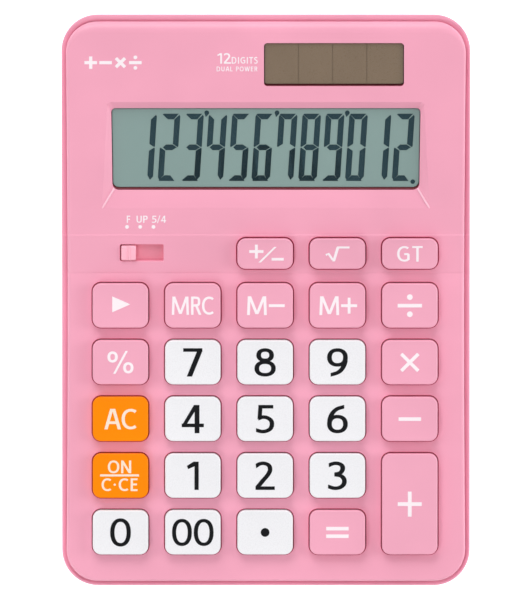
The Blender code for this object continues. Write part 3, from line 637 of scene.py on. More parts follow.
def display_recess(bm):
    """A cutter for the window with a rounded edge, the slopes above it and a flared upper end."""
    rings = [ring(recess_path(0), 0, -2 * WALL)]
    for sine, cosine in quarter(3, 0, 60):  # the sine goes up to 0.87, at the foot of the slopes
        rings.append(ring(recess_path(0), -LIP * (1 - cosine), -BEVEL_DEPTH - LIP * (0.87 - sine)))
    for share, height in ((BEVEL_EDGE, -BEVEL_DEPTH * (1 - BEVEL_EDGE)), (1.02, 0.05), (1.06, 0.4)):
        rings.append(ring(recess_path(share), 0, height))
    skin(bm, rings, DISPLAY)


def make_mitre_lines():
    """The fine raised lines where the recess's front slope meets its sides: rods, let into the slopes, in a
    lighter pink that paints a highlight on them.
    """
    lines = bmesh.new()
    corner = 4  # the middle of the outline's first rounded corner
    for index in (corner, -1 - corner):
        start, end = [
            Vector((*recess_path(share)[index][0], -BEVEL_DEPTH * (1 - share) - MITRE_SUNK))
            for share in (0, BEVEL_EDGE)
        ]
        length = (end - start).length
        along = (end - start).to_track_quat("Z", "Y").to_matrix().to_4x4()
        widths = ((0.5, 0), (0.9, 0.12), (1, 0.4), (1, length - 1.2), (0.8, length - 0.6), (0.4, length))
        sections = [(share * MITRE_RIB, height) for share, height in widths]
        turned(lines, (0, 0), sections, DISPLAY @ Matrix.Translation(start) @ along, 16)
    piece("recess_mitre_lines", lines, "painted_highlight_pink")


def boss_places():
    """(centre, frame, height of the face) of the screw bosses: upright for the case, tilted for the board."""
    for side in (-1, 1):
        for y in CASE_SCREW_YS:
            yield (side * BOSS_X, y), None, face_z(y)
        for v in BOARD_SCREW_VS:
            yield (side * BOSS_X, v), DECK, 0.0


def make_top_case():
    path = top_path()

    def across(ny):
        reach = EDGE_ACROSS["side"] + (EDGE_ACROSS["rear"] - EDGE_ACROSS["side"]) * max(0.0, ny) ** 2
        return reach + (EDGE_ACROSS["front"] - EDGE_ACROSS["side"]) * max(0.0, -ny)

    def down(ny):
        return EDGE_DOWN["side"] + (EDGE_DOWN["rear"] - EDGE_DOWN["side"]) * max(0.0, ny) ** 2

    def below(depth):
        return lambda x, y, ny: face_z(y) - depth

    inner_bottom = SIDE_HEIGHT + LIP_DEPTH - GAP
    chamfer = 0.15
    rings = [
        ring(path, WALL, below(WALL)),
        ring(path, WALL, below(inner_bottom)),
        ring(path, chamfer, below(inner_bottom)),
        ring(path, 0, below(inner_bottom - chamfer)),
    ]
    for sine, cosine in quarter(9):
        rings.append(ring(
            path,
            lambda ny, cosine=cosine: across(ny) * (1 - cosine),
            lambda x, y, ny, sine=sine: face_z(y) - down(ny) * (1 - sine),
        ))

    bosses = bmesh.new()
    cuts = bmesh.new()
    for centre, tilted, top in boss_places():
        bottom = top - (BOARD_TOP if tilted else BASE_BOSS_TOP) + GAP
        turned(bosses, centre, [(BOSS_RADIUS, bottom), (BOSS_RADIUS, top - WALL / 2)], tilted, 24)
        turned(cuts, centre, [(PILOT_RADIUS, bottom - 3), (PILOT_RADIUS, top - 1.3 * WALL)], tilted, 16)
    case = boolean(solid(skin, rings), bosses, "UNION")

    for key in KEYS.values():
        opening(cuts, key.hole(), key.frame, 3 * WALL, key.slope)
    opening(cuts, solar_path(), SOLAR, 2 * WALL)
    opening(cuts, oblong(SLOT_HALF_X, SLOT_HALF_V, GAP), SLOT, 2 * WALL)
    display_recess(cuts)
    pocket_x = PLATE_HALF_X + SLOT_HALF_X
    pocket_v = PLATE_HALF_V + GAP
    block(cuts, (-pocket_x, -pocket_v, -3 * WALL), (pocket_x, pocket_v, PLATE_RISE - WALL), SLOT)
    case = boolean(case, cuts, "DIFFERENCE")
    piece("top_case_shell", case, "case", ["top_case"], weighted=True)


# ---- bottom case and battery cover

def base_rings():
    path = base_path()
    rings = []
    for sine, cosine in quarter(7):
        rings.append(ring(path, BASE_DRAFT + BASE_ROUND * (1 - sine), BASE_Z + BASE_ROUND * (1 - cosine)))
    rings.append(ring(path, 0, lambda x, y, ny: parting_z(x, y, ny) - RIM_DROP))
    for sine, cosine in quarter(5, 15, 90):
        rings.append(ring(
            path,
            RIM_INSET * (1 - cosine),
            lambda x, y, ny, sine=sine: parting_z(x, y, ny) - RIM_INSET * (1 - sine),
        ))
    return rings


def make_bottom_case():
    inner = top_path()

    def ledge(x, y, ny):
        return parting_z(x, y, ny) - LIP_DEPTH + 0.8 * GAP

    rings = base_rings() + [
        ring(inner, -GAP - RIM_SLOPE, parting_z),
        ring(inner, -SLIT, lambda x, y, ny: parting_z(x, y, ny) - RIM_SLOPE),
        ring(inner, -SLIT, ledge),
        ring(inner, WALL, ledge),
        ring(inner, WALL, BASE_Z + 1.6 * WALL),
        ring(inner, 1.5 * WALL, BASE_Z + WALL),
    ]
    bosses = bmesh.new()
    for side in (-1, 1):
        for y in CASE_SCREW_YS:
            turned(bosses, (side * BOSS_X, y), [
                (BASE_BOSS_RADIUS, BASE_Z + WALL / 2), (BASE_BOSS_RADIUS, face_z(y) - BASE_BOSS_TOP),
            ])
    case = boolean(solid(skin, rings), bosses, "UNION")

    # The bay's walls, the shelf over the cover, the room for the cell, the cover's grooves and its mouth
    wall_y = CAVITY_HALF_Y + 0.75 * WALL
    far = 2 * BODY_HALF_LENGTH
    walls = (CELL_Y - wall_y, CELL_Y + wall_y), (BASE_Z + WALL / 2, CAVITY_TOP + 0.6 * WALL)
    shelf = (COVER_FRONT - WALL, TOP_REAR - WALL / 2), (BASE_Z + 0.7 * WALL, COVER_TOP + WALL)
    room = (CELL_Y - CAVITY_HALF_Y, CELL_Y + CAVITY_HALF_Y), (COVER_STEP_Z, CAVITY_TOP)
    grooves = (COVER_FRONT - GAP, far), (COVER_STEP_Z - GAP, COVER_TOP + GAP)
    mouth = (COVER_FRONT - GAP, far), (0, COVER_STEP_Z)
    for operation, half_x, ((front, rear), (bottom, top)) in (
        ("UNION", CAVITY_HALF_X + WALL, walls),
        ("UNION", CAVITY_HALF_X + 1.5 * WALL, shelf),
        ("DIFFERENCE", CAVITY_HALF_X, room),
        ("DIFFERENCE", COVER_HALF_X + COVER_TONGUE + GAP, grooves),
        ("DIFFERENCE", COVER_HALF_X + GAP, mouth),
    ):
        case = boolean(case, solid(block, (-half_x, front, bottom), (half_x, rear, top)), operation)

    cuts = bmesh.new()
    pocket = FOOT_RADIUS + GAP
    notch_low, notch_high = WIRE_NOTCH_Z
    for side in (-1, 1):
        for y in CASE_SCREW_YS:
            seat = face_z(y) - CASE_SEAT
            turned(cuts, (side * BOSS_X, y), [
                (COUNTERBORE + 0.6, 0), (COUNTERBORE + 0.3, BASE_Z), (COUNTERBORE, BASE_Z + 0.3),
                (COUNTERBORE, seat), (PILOT_RADIUS, seat), (PILOT_RADIUS, face_z(y)),
            ])
        for y in (-FOOT_Y, FOOT_Y):
            turned(cuts, (side * FOOT_X, y), [
                (pocket + 0.4, 0), (pocket + 0.15, BASE_Z), (pocket, BASE_Z + 0.15),
                (pocket, BASE_Z + FOOT_POCKET),
            ])
        wall_x = side * (CAVITY_HALF_X + WALL / 2)
        block(cuts, (wall_x - WALL, CELL_Y - 1, notch_low), (wall_x + WALL, CELL_Y + 1, notch_high))
    case = boolean(case, cuts, "DIFFERENCE")
    piece("bottom_case_shell", case, "case", ["bottom_case"], weighted=True)


def make_battery_cover():
    tongue_x = COVER_HALF_X + COVER_TONGUE
    half_section = [
        (COVER_HALF_X, 0), (COVER_HALF_X, COVER_STEP_Z), (tongue_x, COVER_STEP_Z), (tongue_x, COVER_TOP),
    ]
    section = half_section + [(-x, z) for x, z in reversed(half_section)]
    cover = bmesh.new()
    ends = (COVER_FRONT, 2 * BODY_HALF_LENGTH)
    near, far = [[cover.verts.new((x, y, z)) for x, z in section] for y in ends]
    cover.faces.new(near)
    cover.faces.new(far[::-1])
    for i in range(len(section)):
        j = (i + 1) % len(section)
        cover.faces.new((near[j], near[i], far[i], far[j]))
    cover = boolean(cover, solid(skin, base_rings()), "INTERSECT")

    ribs = bmesh.new()
    half_x, half_y = COVER_RIB_HALF
    for k in range(COVER_RIBS):
        y = COVER_RIB_Y + k * COVER_RIB_PITCH
        path = outline(half_x, y - half_y, y + half_y, half_y * 0.96)
        steps = ((0.5, -0.4), (0.2, -0.33), (0, -0.15), (0, 0.4))
        skin(ribs, [ring(path, half_y * inset, BASE_Z + height) for inset, height in steps])
    cover = boolean(cover, ribs, "UNION")
    piece("battery_cover_slide", cover, "case", ["battery_cover"], "battery_door", True)


# ---- legends

def arc(cx, cy, rx, ry, start=0, end=360, power=2.0):
    """Points along an oval; a power over 2 makes it squarer."""
    steps = max(4, round(abs(end - start) / 12))
    points = []
    for k in range(steps + 1):
        turn = math.radians(start + (end - start) * k / steps)
        cosine = math.cos(turn)
        sine = math.sin(turn)
        points.append((
            cx + rx * math.copysign(abs(cosine) ** (2 / power), cosine),
            cy + ry * math.copysign(abs(sine) ** (2 / power), sine),
        ))
    return points


def smooth(points, steps=5):
    """A curve through the points."""
    known = [Vector(point) for point in points]
    known = [2 * known[0] - known[1]] + known + [2 * known[-1] - known[-2]]
    found = []
    for a, b, c, d in zip(known, known[1:], known[2:], known[3:]):
        for k in range(steps):
            t = k / steps
            found.append(0.5 * (
                2 * b + (c - a) * t + (2 * a - 5 * b + 4 * c - d) * t * t + (3 * b - a - 3 * c + d) * t ** 3
            ))
    return found + [known[-2]]


SQUARE_ENDS = (None, None)


def stroke(points, pen, cuts=SQUARE_ENDS):
    """Triangles along a pen line.

    pen is its width on upright and on level stretches, cuts are the directions of its ends.
    """
    places = [Vector(point) for point in points]
    sides = []
    for i, place in enumerate(places):
        run = (places[min(i + 1, len(places) - 1)] - places[max(i - 1, 0)]).normalized()
        across = Vector((-run.y, run.x))
        half = math.hypot(pen[0] * run.y, pen[1] * run.x) / 2
        cut = cuts[0] if i == 0 else cuts[1] if i == len(places) - 1 else None
        if cut:
            direction = Vector(cut)
            across = direction / direction.dot(across)
        sides.append((place + across * half, place - across * half))
    found = []
    for a, b in zip(sides, sides[1:]):
        found += [(a[1], b[1], b[0]), (a[1], b[0], a[0])]
    return found


LEVEL = (1, 0)
UPRIGHT = (0, 1)


def loop(pen, cx, cy, rx, ry, power=2.25):
    """A closed oval pen line of that outer size."""
    points = arc(cx, cy, rx - pen[0] / 2, ry - pen[1] / 2, 0, 360, power)
    return stroke([points[-2]] + points + [points[1]], pen)[2:-2]


def bow(pen, cx, cy, rx, ry, start, end):
    """An open oval pen line of that outer size."""
    return stroke(arc(cx, cy, rx - pen[0] / 2, ry - pen[1] / 2, start, end, 2.15), pen)


def upright(pen, x, low=0.0, high=1.0):
    """A stem whose left edge is at x."""
    return [[(x, low), (x + pen[0], low), (x + pen[0], high), (x, high)]]


def level(pen, y, low, high):
    """A bar whose lower edge is at y."""
    return [[(low, y), (high, y), (high, y + pen[1]), (low, y + pen[1])]]


def slants(pen, *points):
    """A straight pen line with level ends for each pair of points."""
    found = []
    for start, end in zip(points[::2], points[1::2]):
        found += stroke([start, end], pen, (LEVEL, LEVEL))
    return found


STEM = 0.05  # left edge of a letter's stem


def stem(pen, *arms):
    """An upright with level arms to its right: each is the height of its lower edge, and its end."""
    found = upright(pen, STEM)
    for low, end in arms:
        found += level(pen, low, STEM, end)
    return found


def curl(pen, points, cuts=(UPRIGHT, UPRIGHT)):
    """A pen line curved through the points, its ends upright unless said otherwise."""
    return stroke(smooth(points), pen, cuts)


def six(pen):
    return loop(pen, 0.355, 0.325, 0.335, 0.325) + curl(
        pen, [(0.095, 0.33), (0.115, 0.52), (0.20, 0.72), (0.345, 0.86), (0.575, 0.94)], (None, UPRIGHT))


def turned_half(polygons, width):
    return [[(width - x, 1 - y) for x, y in polygon] for polygon in polygons]


def bowl(pen, low, reach):
    """The round part of P and R, from the stem at the top down to low."""
    top = 1 - pen[1] / 2
    bottom = low + pen[1] / 2
    middle = (top + bottom) / 2
    return curl(pen, [
        (0.08, top), (0.30, top), (reach - 0.11, top - 0.04), (reach - pen[0] / 2, middle),
        (reach - 0.11, bottom + 0.04), (0.30, bottom), (0.08, bottom),
    ], SQUARE_ENDS)


# Each glyph, one unit tall: how far on the next one stands, and its polygons for a pen
GLYPHS = {
    "0": (0.80, lambda p: loop(p, 0.365, 0.5, 0.365, 0.5)),
    "1": (0.62, lambda p: [[
        (0.48 - p[0] / 2, 0), (0.48 + p[0] / 2, 0), (0.48 + p[0] / 2, 1), (0.37, 1), (0.13, 0.85),
        (0.17, 0.735), (0.405, 0.835),
    ]]),
    "2": (0.76, lambda p: level(p, 0, 0.04, 0.68) + curl(p, [
        (0.06, 0.845), (0.18, 0.922), (0.33, 0.94), (0.485, 0.865), (0.525, 0.71), (0.455, 0.54),
        (0.30, 0.345), (0.10, 0.09),
    ], (UPRIGHT, None))),
    "3": (0.74, lambda p: curl(p, [
        (0.075, 0.872), (0.205, 0.928), (0.345, 0.94), (0.48, 0.875), (0.515, 0.745), (0.44, 0.605),
        (0.25, 0.55),
    ]) + curl(p, [
        (0.25, 0.54), (0.45, 0.50), (0.56, 0.375), (0.55, 0.205), (0.43, 0.09), (0.25, 0.06), (0.05, 0.122),
    ])),
    "4": (0.76, lambda p: upright(p, 0.435) + level(p, 0.215, 0.03, 0.725) + [
        [(0.03, 0.27), (0.16, 0.27), (0.48, 0.84), (0.50, 1.0), (0.415, 1.0)],
    ]),
    "5": (0.72, lambda p: level(p, 1 - p[1], 0.13, 0.63) + [
        [(0.13, 1), (0.27, 1), (0.245, 0.575), (0.10, 0.49)],
    ] + curl(p, [
        (0.13, 0.52), (0.27, 0.57), (0.42, 0.55), (0.55, 0.455), (0.585, 0.305), (0.53, 0.16), (0.40, 0.08),
        (0.24, 0.06), (0.05, 0.112),
    ])),
    "6": (0.76, six),
    "7": (0.72, lambda p: level(p, 1 - p[1], 0.05, 0.67) + [
        [(0.165, 0), (0.335, 0), (0.67, 0.90), (0.50, 0.90)],
    ]),
    "8": (0.76, lambda p: loop(p, 0.36, 0.755, 0.285, 0.245) + loop(p, 0.36, 0.285, 0.345, 0.285)),
    "9": (0.76, lambda p: turned_half(six(p), 0.72)),
    "A": (0.76, lambda p: slants(p, (0.07, 0), (0.335, 1), (0.68, 0), (0.415, 1)) + level(
        p, 0.26, 0.17, 0.58)),
    "C": (0.76, lambda p: bow(p, 0.46, 0.5, 0.42, 0.5, 52, 308)),
    "D": (0.84, lambda p: stem(p) + curl(p, [
        (0.08, 1 - p[1] / 2), (0.33, 0.94), (0.58, 0.84), (0.68, 0.5), (0.58, 0.16), (0.33, 0.06),
        (0.08, p[1] / 2),
    ], SQUARE_ENDS)),
    "E": (0.63, lambda p: stem(p, (0, 0.53), (0.45, 0.49), (1 - p[1], 0.53))),
    "F": (0.60, lambda p: stem(p, (0.43, 0.49), (1 - p[1], 0.54))),
    "G": (0.84, lambda p: bow(p, 0.46, 0.5, 0.42, 0.5, 52, 318) + upright(p, 0.62, 0.12, 0.5) + level(
        p, 0.42, 0.45, 0.70)),
    "I": (0.28, stem),
    "L": (0.60, lambda p: stem(p, (0, 0.53))),
    "M": (1.14, lambda p: slants(p, (0.105, 0), (0.14, 1), (0.955, 0), (0.92, 1)) + slants(
        p, (0.165, 1), (0.525, 0.05), (0.895, 1), (0.535, 0.05))),
    "N": (0.86, lambda p: stem(p) + upright(p, 0.60) + slants(p, (0.13, 0.98), (0.65, 0.02))),
    "O": (0.90, lambda p: loop(p, 0.42, 0.5, 0.40, 0.5)),
    "P": (0.66, lambda p: stem(p) + bowl(p, 0.42, 0.60)),
    "R": (0.68, lambda p: stem(p) + bowl(p, 0.45, 0.58) + slants(p, (0.35, 0.50), (0.57, 0))),
    "S": (0.62, lambda p: curl(p, [
        (0.50, 0.885), (0.37, 0.942), (0.22, 0.93), (0.115, 0.83), (0.125, 0.68), (0.27, 0.56), (0.42, 0.45),
        (0.49, 0.30), (0.43, 0.13), (0.28, 0.058), (0.04, 0.11),
    ])),
    "T": (0.64, lambda p: level(p, 1 - p[1], 0.01, 0.61) + upright(p, 0.31 - p[0] / 2, 0, 0.95)),
    "U": (0.82, lambda p: upright(p, STEM, 0.34) + upright(p, 0.70 - p[0], 0.34) + bow(
        p, 0.375, 0.35, 0.325, 0.35, 180, 360)),
    "W": (1.10, lambda p: slants(
        p, (0.07, 1), (0.29, 0), (0.31, 0), (0.51, 1), (0.53, 1), (0.73, 0), (0.75, 0), (0.97, 1))),
    "/": (0.50, lambda p: slants((0.7 * p[0], p[1]), (0.06, -0.04), (0.40, 1.04))),
    "%": (1.20, lambda p: loop(p, 0.245, 0.745, 0.235, 0.255) + loop(p, 0.955, 0.255, 0.235, 0.255) + slants(
        (0.7 * p[0], p[1]), (0.32, -0.02), (0.88, 1.02))),
    ".": (0.30, lambda p: [arc(0.13, 0.5, 0.085, 0.085)[:-1]]),
    " ": (0.36, lambda p: []),
}


def placed(polygons, dx, dy, scale=1.0):
    return [[(dx + scale * x, dy + scale * y) for x, y in polygon] for polygon in polygons]


def words(text, height, centre=(0, 0), pen=(0.14, 0.12), tracking=0.0, wide=1.0):
    """Polygons of a line of glyphs, centred on a point and drawn out sideways."""
    found = []
    along = 0.0
    for letter in text:
        advance, draw = GLYPHS[letter]
        found += placed(draw(pen), along, 0)
        along += advance + tracking
    found = [[(wide * x, y) for x, y in polygon] for polygon in found]
    xs = [x for polygon in found for x, _ in polygon]
    middle = (min(xs) + max(xs)) / 2
    return placed(found, centre[0] - height * middle, centre[1] - height / 2, height)


SQUARE = ((-1, -1), (1, -1), (1, 1), (-1, 1))


def bar(width, height, centre=(0, 0)):
    return [[(centre[0] + x * width / 2, centre[1] + y * height / 2) for x, y in SQUARE]]


def dot(radius, centre=(0, 0)):
    return [arc(centre[0], centre[1], radius, radius)[:-1]]


def plus(width, height, thick, centre=(0, 0)):
    return bar(width, thick, centre) + bar(thick, height, centre)


def times(size, thick, centre=(0, 0)):
    half = (size - 0.7 * thick) / 2
    x, y = centre
    pen = (thick, thick)
    return stroke([(x - half, y - half), (x + half, y + half)], pen) + stroke(
        [(x - half, y + half), (x + half, y - half)], pen)


def divide(width, thick, radius, gap, centre=(0, 0)):
    x, y = centre
    return bar(width, thick, centre) + dot(radius, (x, y + gap)) + dot(radius, (x, y - gap))


DIGIT_PEN = (0.152, 0.125)
LETTER_PEN = (0.142, 0.128)
SMALL_PEN = (0.155, 0.145)

# Printed signs of the keys, from the middle of each cap
LEGENDS = {
    "key_plus_minus": plus(3.75, 3.7, 0.76, (-2.3, 0.62)) + slants(
        (0.5, 0.45), (-1.45, -2.3), (2.7, 1.85)) + bar(3.2, 0.72, (3.3, -1.43)),
    "key_square_root": stroke([(-3.05, -0.35), (-2.35, 0.05), (-1.25, -1.6)], (0.6, 0.6)) + stroke(
        [(-1.35, -1.85), (-0.95, -1.85), (0.1, 1.72)], (0.75, 0.35)) + bar(3.3, 0.55, (1.5, 1.7)),
    "key_grand_total": words("GT", 4.15, pen=LETTER_PEN, tracking=0.06, wide=1.1),
    "key_check": [[(-2.15, -1.75), (2.6, 0.35), (-2.15, 2.45)]],
    "key_memory_recall": words("MRC", 4.8, pen=LETTER_PEN, tracking=-0.045, wide=0.95),
    "key_memory_minus": words("M", 4.95, (-2.15, 0), LETTER_PEN, wide=1.06) + bar(4.2, 0.75, (3.05, 0)),
    "key_memory_plus": words("M", 4.95, (-2.15, 0), LETTER_PEN, wide=1.06) + plus(4.2, 4.2, 0.75, (3.05, 0)),
    "key_divide": divide(6.4, 0.95, 0.75, 2.25),
    "key_percent": words("%", 5.8, pen=(0.13, 0.115)),
    "key_multiply": times(5.1, 0.9),
    "key_all_clear": words("AC", 5.4, pen=(0.145, 0.13), tracking=-0.02, wide=1.07),
    "key_minus": bar(5.9, 0.95),
    "key_on_clear": words("ON", 3.35, (-0.25, 2.35), SMALL_PEN, wide=1.12) + bar(
        10.2, 0.55, (-0.25, 0.1)) + words("C.CE", 3.35, (-0.25, -2.35), SMALL_PEN, 0.07, 1.12),
    "key_plus": plus(6.3, 6.6, 1.0),
    "key_00": words("00", 7.15, pen=DIGIT_PEN),
    "key_point": dot(1.15),
    "key_equals": bar(5.9, 0.95, (0, 1.0)) + bar(5.9, 0.95, (0, -1.0)),
}
DIGIT_WIDE = {"0": 1.0, "1": 0.97, "2": 1.06, "3": 1.11, "4": 1.12, "5": 1.05}
for digit in "0123456789":
    LEGENDS["key_" + digit] = words(digit, 7.45, pen=DIGIT_PEN, wide=DIGIT_WIDE.get(digit, 1.09))


SLIVER = 1e-5  # polygons of less area are left out
INK_LOW = -0.15
INK_HIGH = 0.035
INK_OF = {"white": "black_ink", "orange": "cream_ink", "pink": "white_ink"}


def slab(bm, polygons, height, low, high, place):
    """A thin solid over the union of the polygons, between two offsets from a surface."""
    points = []
    faces = []
    for polygon in polygons:
        corners = [Vector(point) for point in polygon]
        area = sum(a.cross(b) for a, b in zip(corners, corners[1:] + corners[:1]))
        if abs(area) < SLIVER:
            continue
        faces.append(list(range(len(points), len(points) + len(corners))))
        points.extend(corners if area > 0 else corners[::-1])
    spots, _, triangles, _, _, sources = delaunay_2d_cdt(points, [], faces, 0, 1e-4)
    kept = [tuple(triangle) for triangle, source in zip(triangles, sources) if source]
    used = sorted({index for triangle in kept for index in triangle})
    lower, upper = [
        {i: bm.verts.new(place @ Vector((*spots[i], height(*spots[i]) + offset))) for i in used}
        for offset in (low, high)
    ]
    edges = {(t[k], t[(k + 1) % 3]) for t in kept for k in range(3)}
    for triangle in kept:
        bm.faces.new([upper[i] for i in triangle])
        bm.faces.new([lower[i] for i in reversed(triangle)])
    for i, j in edges:
        if (j, i) not in edges:
            bm.faces.new((upper[j], upper[i], lower[i], lower[j]))


def make_legend(name, key):
    legend = solid(slab, LEGENDS[name], key.top, INK_LOW, INK_HIGH, key.frame)
    piece(name + "_legend", legend, INK_OF[colour_of(name)], body=name + "_cap")


# ---- keys

def make_key(name, key):
    """A hollow cap with a rounded edge, a dished face, a flange under the case and a post over the dome."""
    cap = oblong(key.half_x, key.half_v, KEY_CORNER)
    post = oblong(POST_HALF, POST_HALF, POST_HALF / 2)
    flange_bottom = -(WALL + GAP + KEY_FLANGE_THICK)
    rings = [
        ring(post, 0, key.post_bottom),
        ring(post, 0, key.leaning(KEY_RISE - KEY_WALL)),
        ring(cap, KEY_WALL, key.leaning(KEY_RISE - KEY_WALL)),
        ring(cap, KEY_WALL, key.leaning(flange_bottom)),
        ring(cap, -KEY_FLANGE, key.leaning(flange_bottom)),
        ring(cap, -KEY_FLANGE, key.leaning(flange_bottom + KEY_FLANGE_THICK)),
        ring(cap, 0, key.leaning(flange_bottom + KEY_FLANGE_THICK)),
    ]
    for sine, cosine in quarter(6):
        rings.append(ring(cap, KEY_EDGE * (1 - cosine), key.leaning(KEY_RISE - KEY_EDGE * (1 - sine))))
    inner = oblong(key.half_x - KEY_EDGE, key.half_v - KEY_EDGE, KEY_CORNER - KEY_EDGE)
    for scale in (0.975, 0.94, 0.89, 0.82, 0.73, 0.6, 0.42, 0.2):
        rings.append(ring(inner, 0, key.top, scale))
    colour = colour_of(name)
    cap = solid(skin, rings, key.frame)
    piece(name + "_keycap", cap, colour + "_key", [name], name + "_cap")


def make_key_gap_shade():
    """A narrow dark ring round every key, just under the face, which paints the shade in the key's gap."""
    bm = bmesh.new()
    for key in KEYS.values():
        hole = key.hole()
        top = key.leaning(-WELL_DEPTH)
        bottom = key.leaning(-WALL)
        corners = ((-WELL_BURIED, top), (-WELL_BURIED, bottom), (WELL_THICK, bottom), (WELL_THICK, top))
        tube(bm, [ring(hole, inset, height) for inset, height in corners], key.frame)
    piece("key_gap_painted_shade", bm, "gap_shade_pink")


# ---- digits of the display

def segment_shapes():
    """The seven segments of one upright digit, with mitred ends and clear lines between them."""
    w = LCD_DIGIT_WIDTH
    h = LCD_DIGIT_HEIGHT
    t = LCD_STROKE
    g = LCD_BREAK
    m = h / 2
    clip = 0.45
    top = [(clip, h), (w - clip, h), (w - t - 2 * g, h - t), (t + 2 * g, h - t), (clip / 2, h - clip / 2)]

    def right(cut_x, cut_y):
        """The upper right segment, with its outer corner cut by that much."""
        return [
            (w - cut_x, h - 0.3), (w, h - cut_y), (w, m + 0.3), (w - 0.2, m + g), (w - t, m + 0.62 * t),
            (w - t, h - t - g),
        ]

    middle = [
        (0.8, m), (t + g, m + t / 2), (w - t - g, m + t / 2), (w - 0.42, m), (w - t - g, m - t / 2),
        (t + g, m - t / 2),
    ]

    def flip_x(shape):
        return [(w - x, y) for x, y in reversed(shape)]

    def flip_y(shape):
        return [(x, h - y) for x, y in reversed(shape)]

    return {
        "a": top, "b": right(0.25, 0.7), "f": flip_x(right(0.25, 0.7)), "c": flip_y(right(0.75, 1.2)),
        "e": flip_x(flip_y(right(0.4, 0.9))), "d": flip_y(top), "g": middle,
    }


def lean(polygons):
    return [[(x + LCD_SLANT * y, y) for x, y in polygon] for polygon in polygons]


def lcd_polygons(text):
    """Segments for a text of digits, apostrophes and a point, read from the right end of the display."""
    shapes = segment_shapes()
    digits = [letter for letter in text if letter.isdigit()]
    left = LCD_LAST_RIGHT - LCD_DIGIT_WIDTH - LCD_SLANT * LCD_DIGIT_HEIGHT - (len(digits) - 1) * LCD_PITCH
    found = []
    for letter in text:
        if letter.isdigit():
            found += placed(lean([shapes[s] for s in SEGMENTS[letter]]), left, LCD_LOW_V)
            left += LCD_PITCH
            continue
        gap = left - (LCD_PITCH - LCD_DIGIT_WIDTH) / 2
        if letter == "'":
            tear = arc(0, 0, 0.62, 0.62, -30, 210) + [(-0.25, -1.15)]
            top_x = gap + LCD_SLANT * LCD_DIGIT_HEIGHT + 0.1
            found += placed([tear], top_x, LCD_LOW_V + LCD_DIGIT_HEIGHT + 0.25)
        else:
            found += dot(0.6, (gap, LCD_LOW_V - 0.2))
    return found


def flat(x, v):
    """The height of lettering that lies on a facet."""
    return 0.0


# ---- display and solar window

def moved(path, along):
    """The outline further to the rear."""
    return [((x, y + along), normal) for (x, y), normal in path]


def shade_liner(name, path, place, top, lip):
    """A dark lining let into a window's wall, which paints the shade there and shows along its front edge
    only.
    """
    rings = [
        ring(path, -SHADE_LINING_BURIED, top),
        ring(path, -SHADE_LINING_BURIED, -SHADE_LINING_DEPTH),
        ring(moved(path, lip), 0, -SHADE_LINING_DEPTH),
        ring(moved(path, lip - SHADE_LINING_SLANT), 0, top),
    ]
    piece(name, solid(tube, rings, place), "painted_shade_pink")


def make_shade_linings():
    shade_liner("display_shade_lining", recess_path(0), DISPLAY, -BEVEL_DEPTH - 1.5 * LIP, DISPLAY_LIP)
    shade_liner("solar_shade_lining", solar_path(), SOLAR, -1.5 * LIP, SOLAR_LIP)


def behind_lip(path, lip):
    """A window's outline with its front side moved back, so that the plate inside it meets the painted-shade
    lining's lip.
    """
    front = min(y for (x, y), normal in path)
    rear = max(y for (x, y), normal in path)
    back = lip - PLUG_GAP
    return [((x, y + back * (rear - y) / (rear - front)), normal) for (x, y), normal in path]


def window_plate(node, place, path, top):
    """A clear plate: a flange under the case, and a hollow raised middle that fills the window."""
    low, high = tilted_box(node, DISPLAY_TILT)
    flange = oblong((high.x - low.x) / 2, (high.y - low.y) / 2, PLATE_CORNER)
    bottom, shoulder = heights(node, place)
    hollow = PLUG_GAP + PLUG_SKIN
    rings = [
        ring(path, hollow, top - PLUG_SKIN),
        ring(path, hollow, bottom),
        ring(flange, 0, bottom),
        ring(flange, 0, shoulder),
        ring(path, PLUG_GAP, shoulder),
        ring(path, PLUG_GAP, top - PLUG_EDGE),
        ring(path, PLUG_GAP + PLUG_EDGE, top),
    ]
    piece(node + "_plate", solid(skin, rings, place), "clear", [node])


def backed_window(node, place, path, top, sheet, bottom):
    """A window's clear plate, and the panel behind it with a raised middle that stands inside the plate.

    Gives the panel, which still has to be made a piece, and the height of its top.
    """
    window_plate(node, place, path, top)
    inset = PLUG_GAP + PLUG_SKIN + PANEL_GAP
    shoulder = heights(node, place)[0] - PANEL_CLEAR
    panel_top = top - PLUG_SKIN - PANEL_DROP
    rings = [
        ring(sheet, 0, bottom),
        ring(sheet, 0, shoulder),
        ring(path, inset, shoulder),
        ring(path, inset, panel_top - PANEL_EDGE),
        ring(path, inset + PANEL_EDGE, panel_top),
    ]
    return solid(skin, rings, place), panel_top


def make_display():
    window = behind_lip(recess_path(0), DISPLAY_LIP)
    sheet = oblong(GLASS_HALF_X, GLASS_HALF_V, 0.4)
    bottom = heights("lcd_panel", DISPLAY)[1] + GLASS_LIFT
    depth = BEVEL_DEPTH + DISPLAY_SUNK
    glass, glass_top = backed_window("display_window", DISPLAY, window, -depth, sheet, bottom)
    piece("lcd_front_glass", glass, "lcd")

    on_glass = DISPLAY @ Matrix.Translation((0, 0, glass_top))
    digits = solid(slab, lcd_polygons(LCD_TEXT), flat, 0.01, 0.05, on_glass)
    piece("lcd_segments", digits, "lcd_ink")

    # The holder frame is drawn in a dark pink that paints the shade deep inside the display's recess.
    outer = oblong(HOLDER_HALF_X, HOLDER_HALF_V, 1.0)
    inner = oblong(GLASS_HALF_X + 0.1, GLASS_HALF_V + 0.1, 0.5)
    rings = [
        ring(inner, -HOLDER_EDGE, HOLDER_TOP),
        ring(inner, 0, HOLDER_TOP - HOLDER_EDGE),
        ring(inner, 0, HOLDER_BOTTOM),
        ring(outer, 0, HOLDER_BOTTOM),
        ring(outer, 0, HOLDER_TOP),
    ]
    holder = solid(tube, rings, DISPLAY)
    piece("lcd_holder_frame", holder, "painted_shade_pink", ["lcd_holder"])


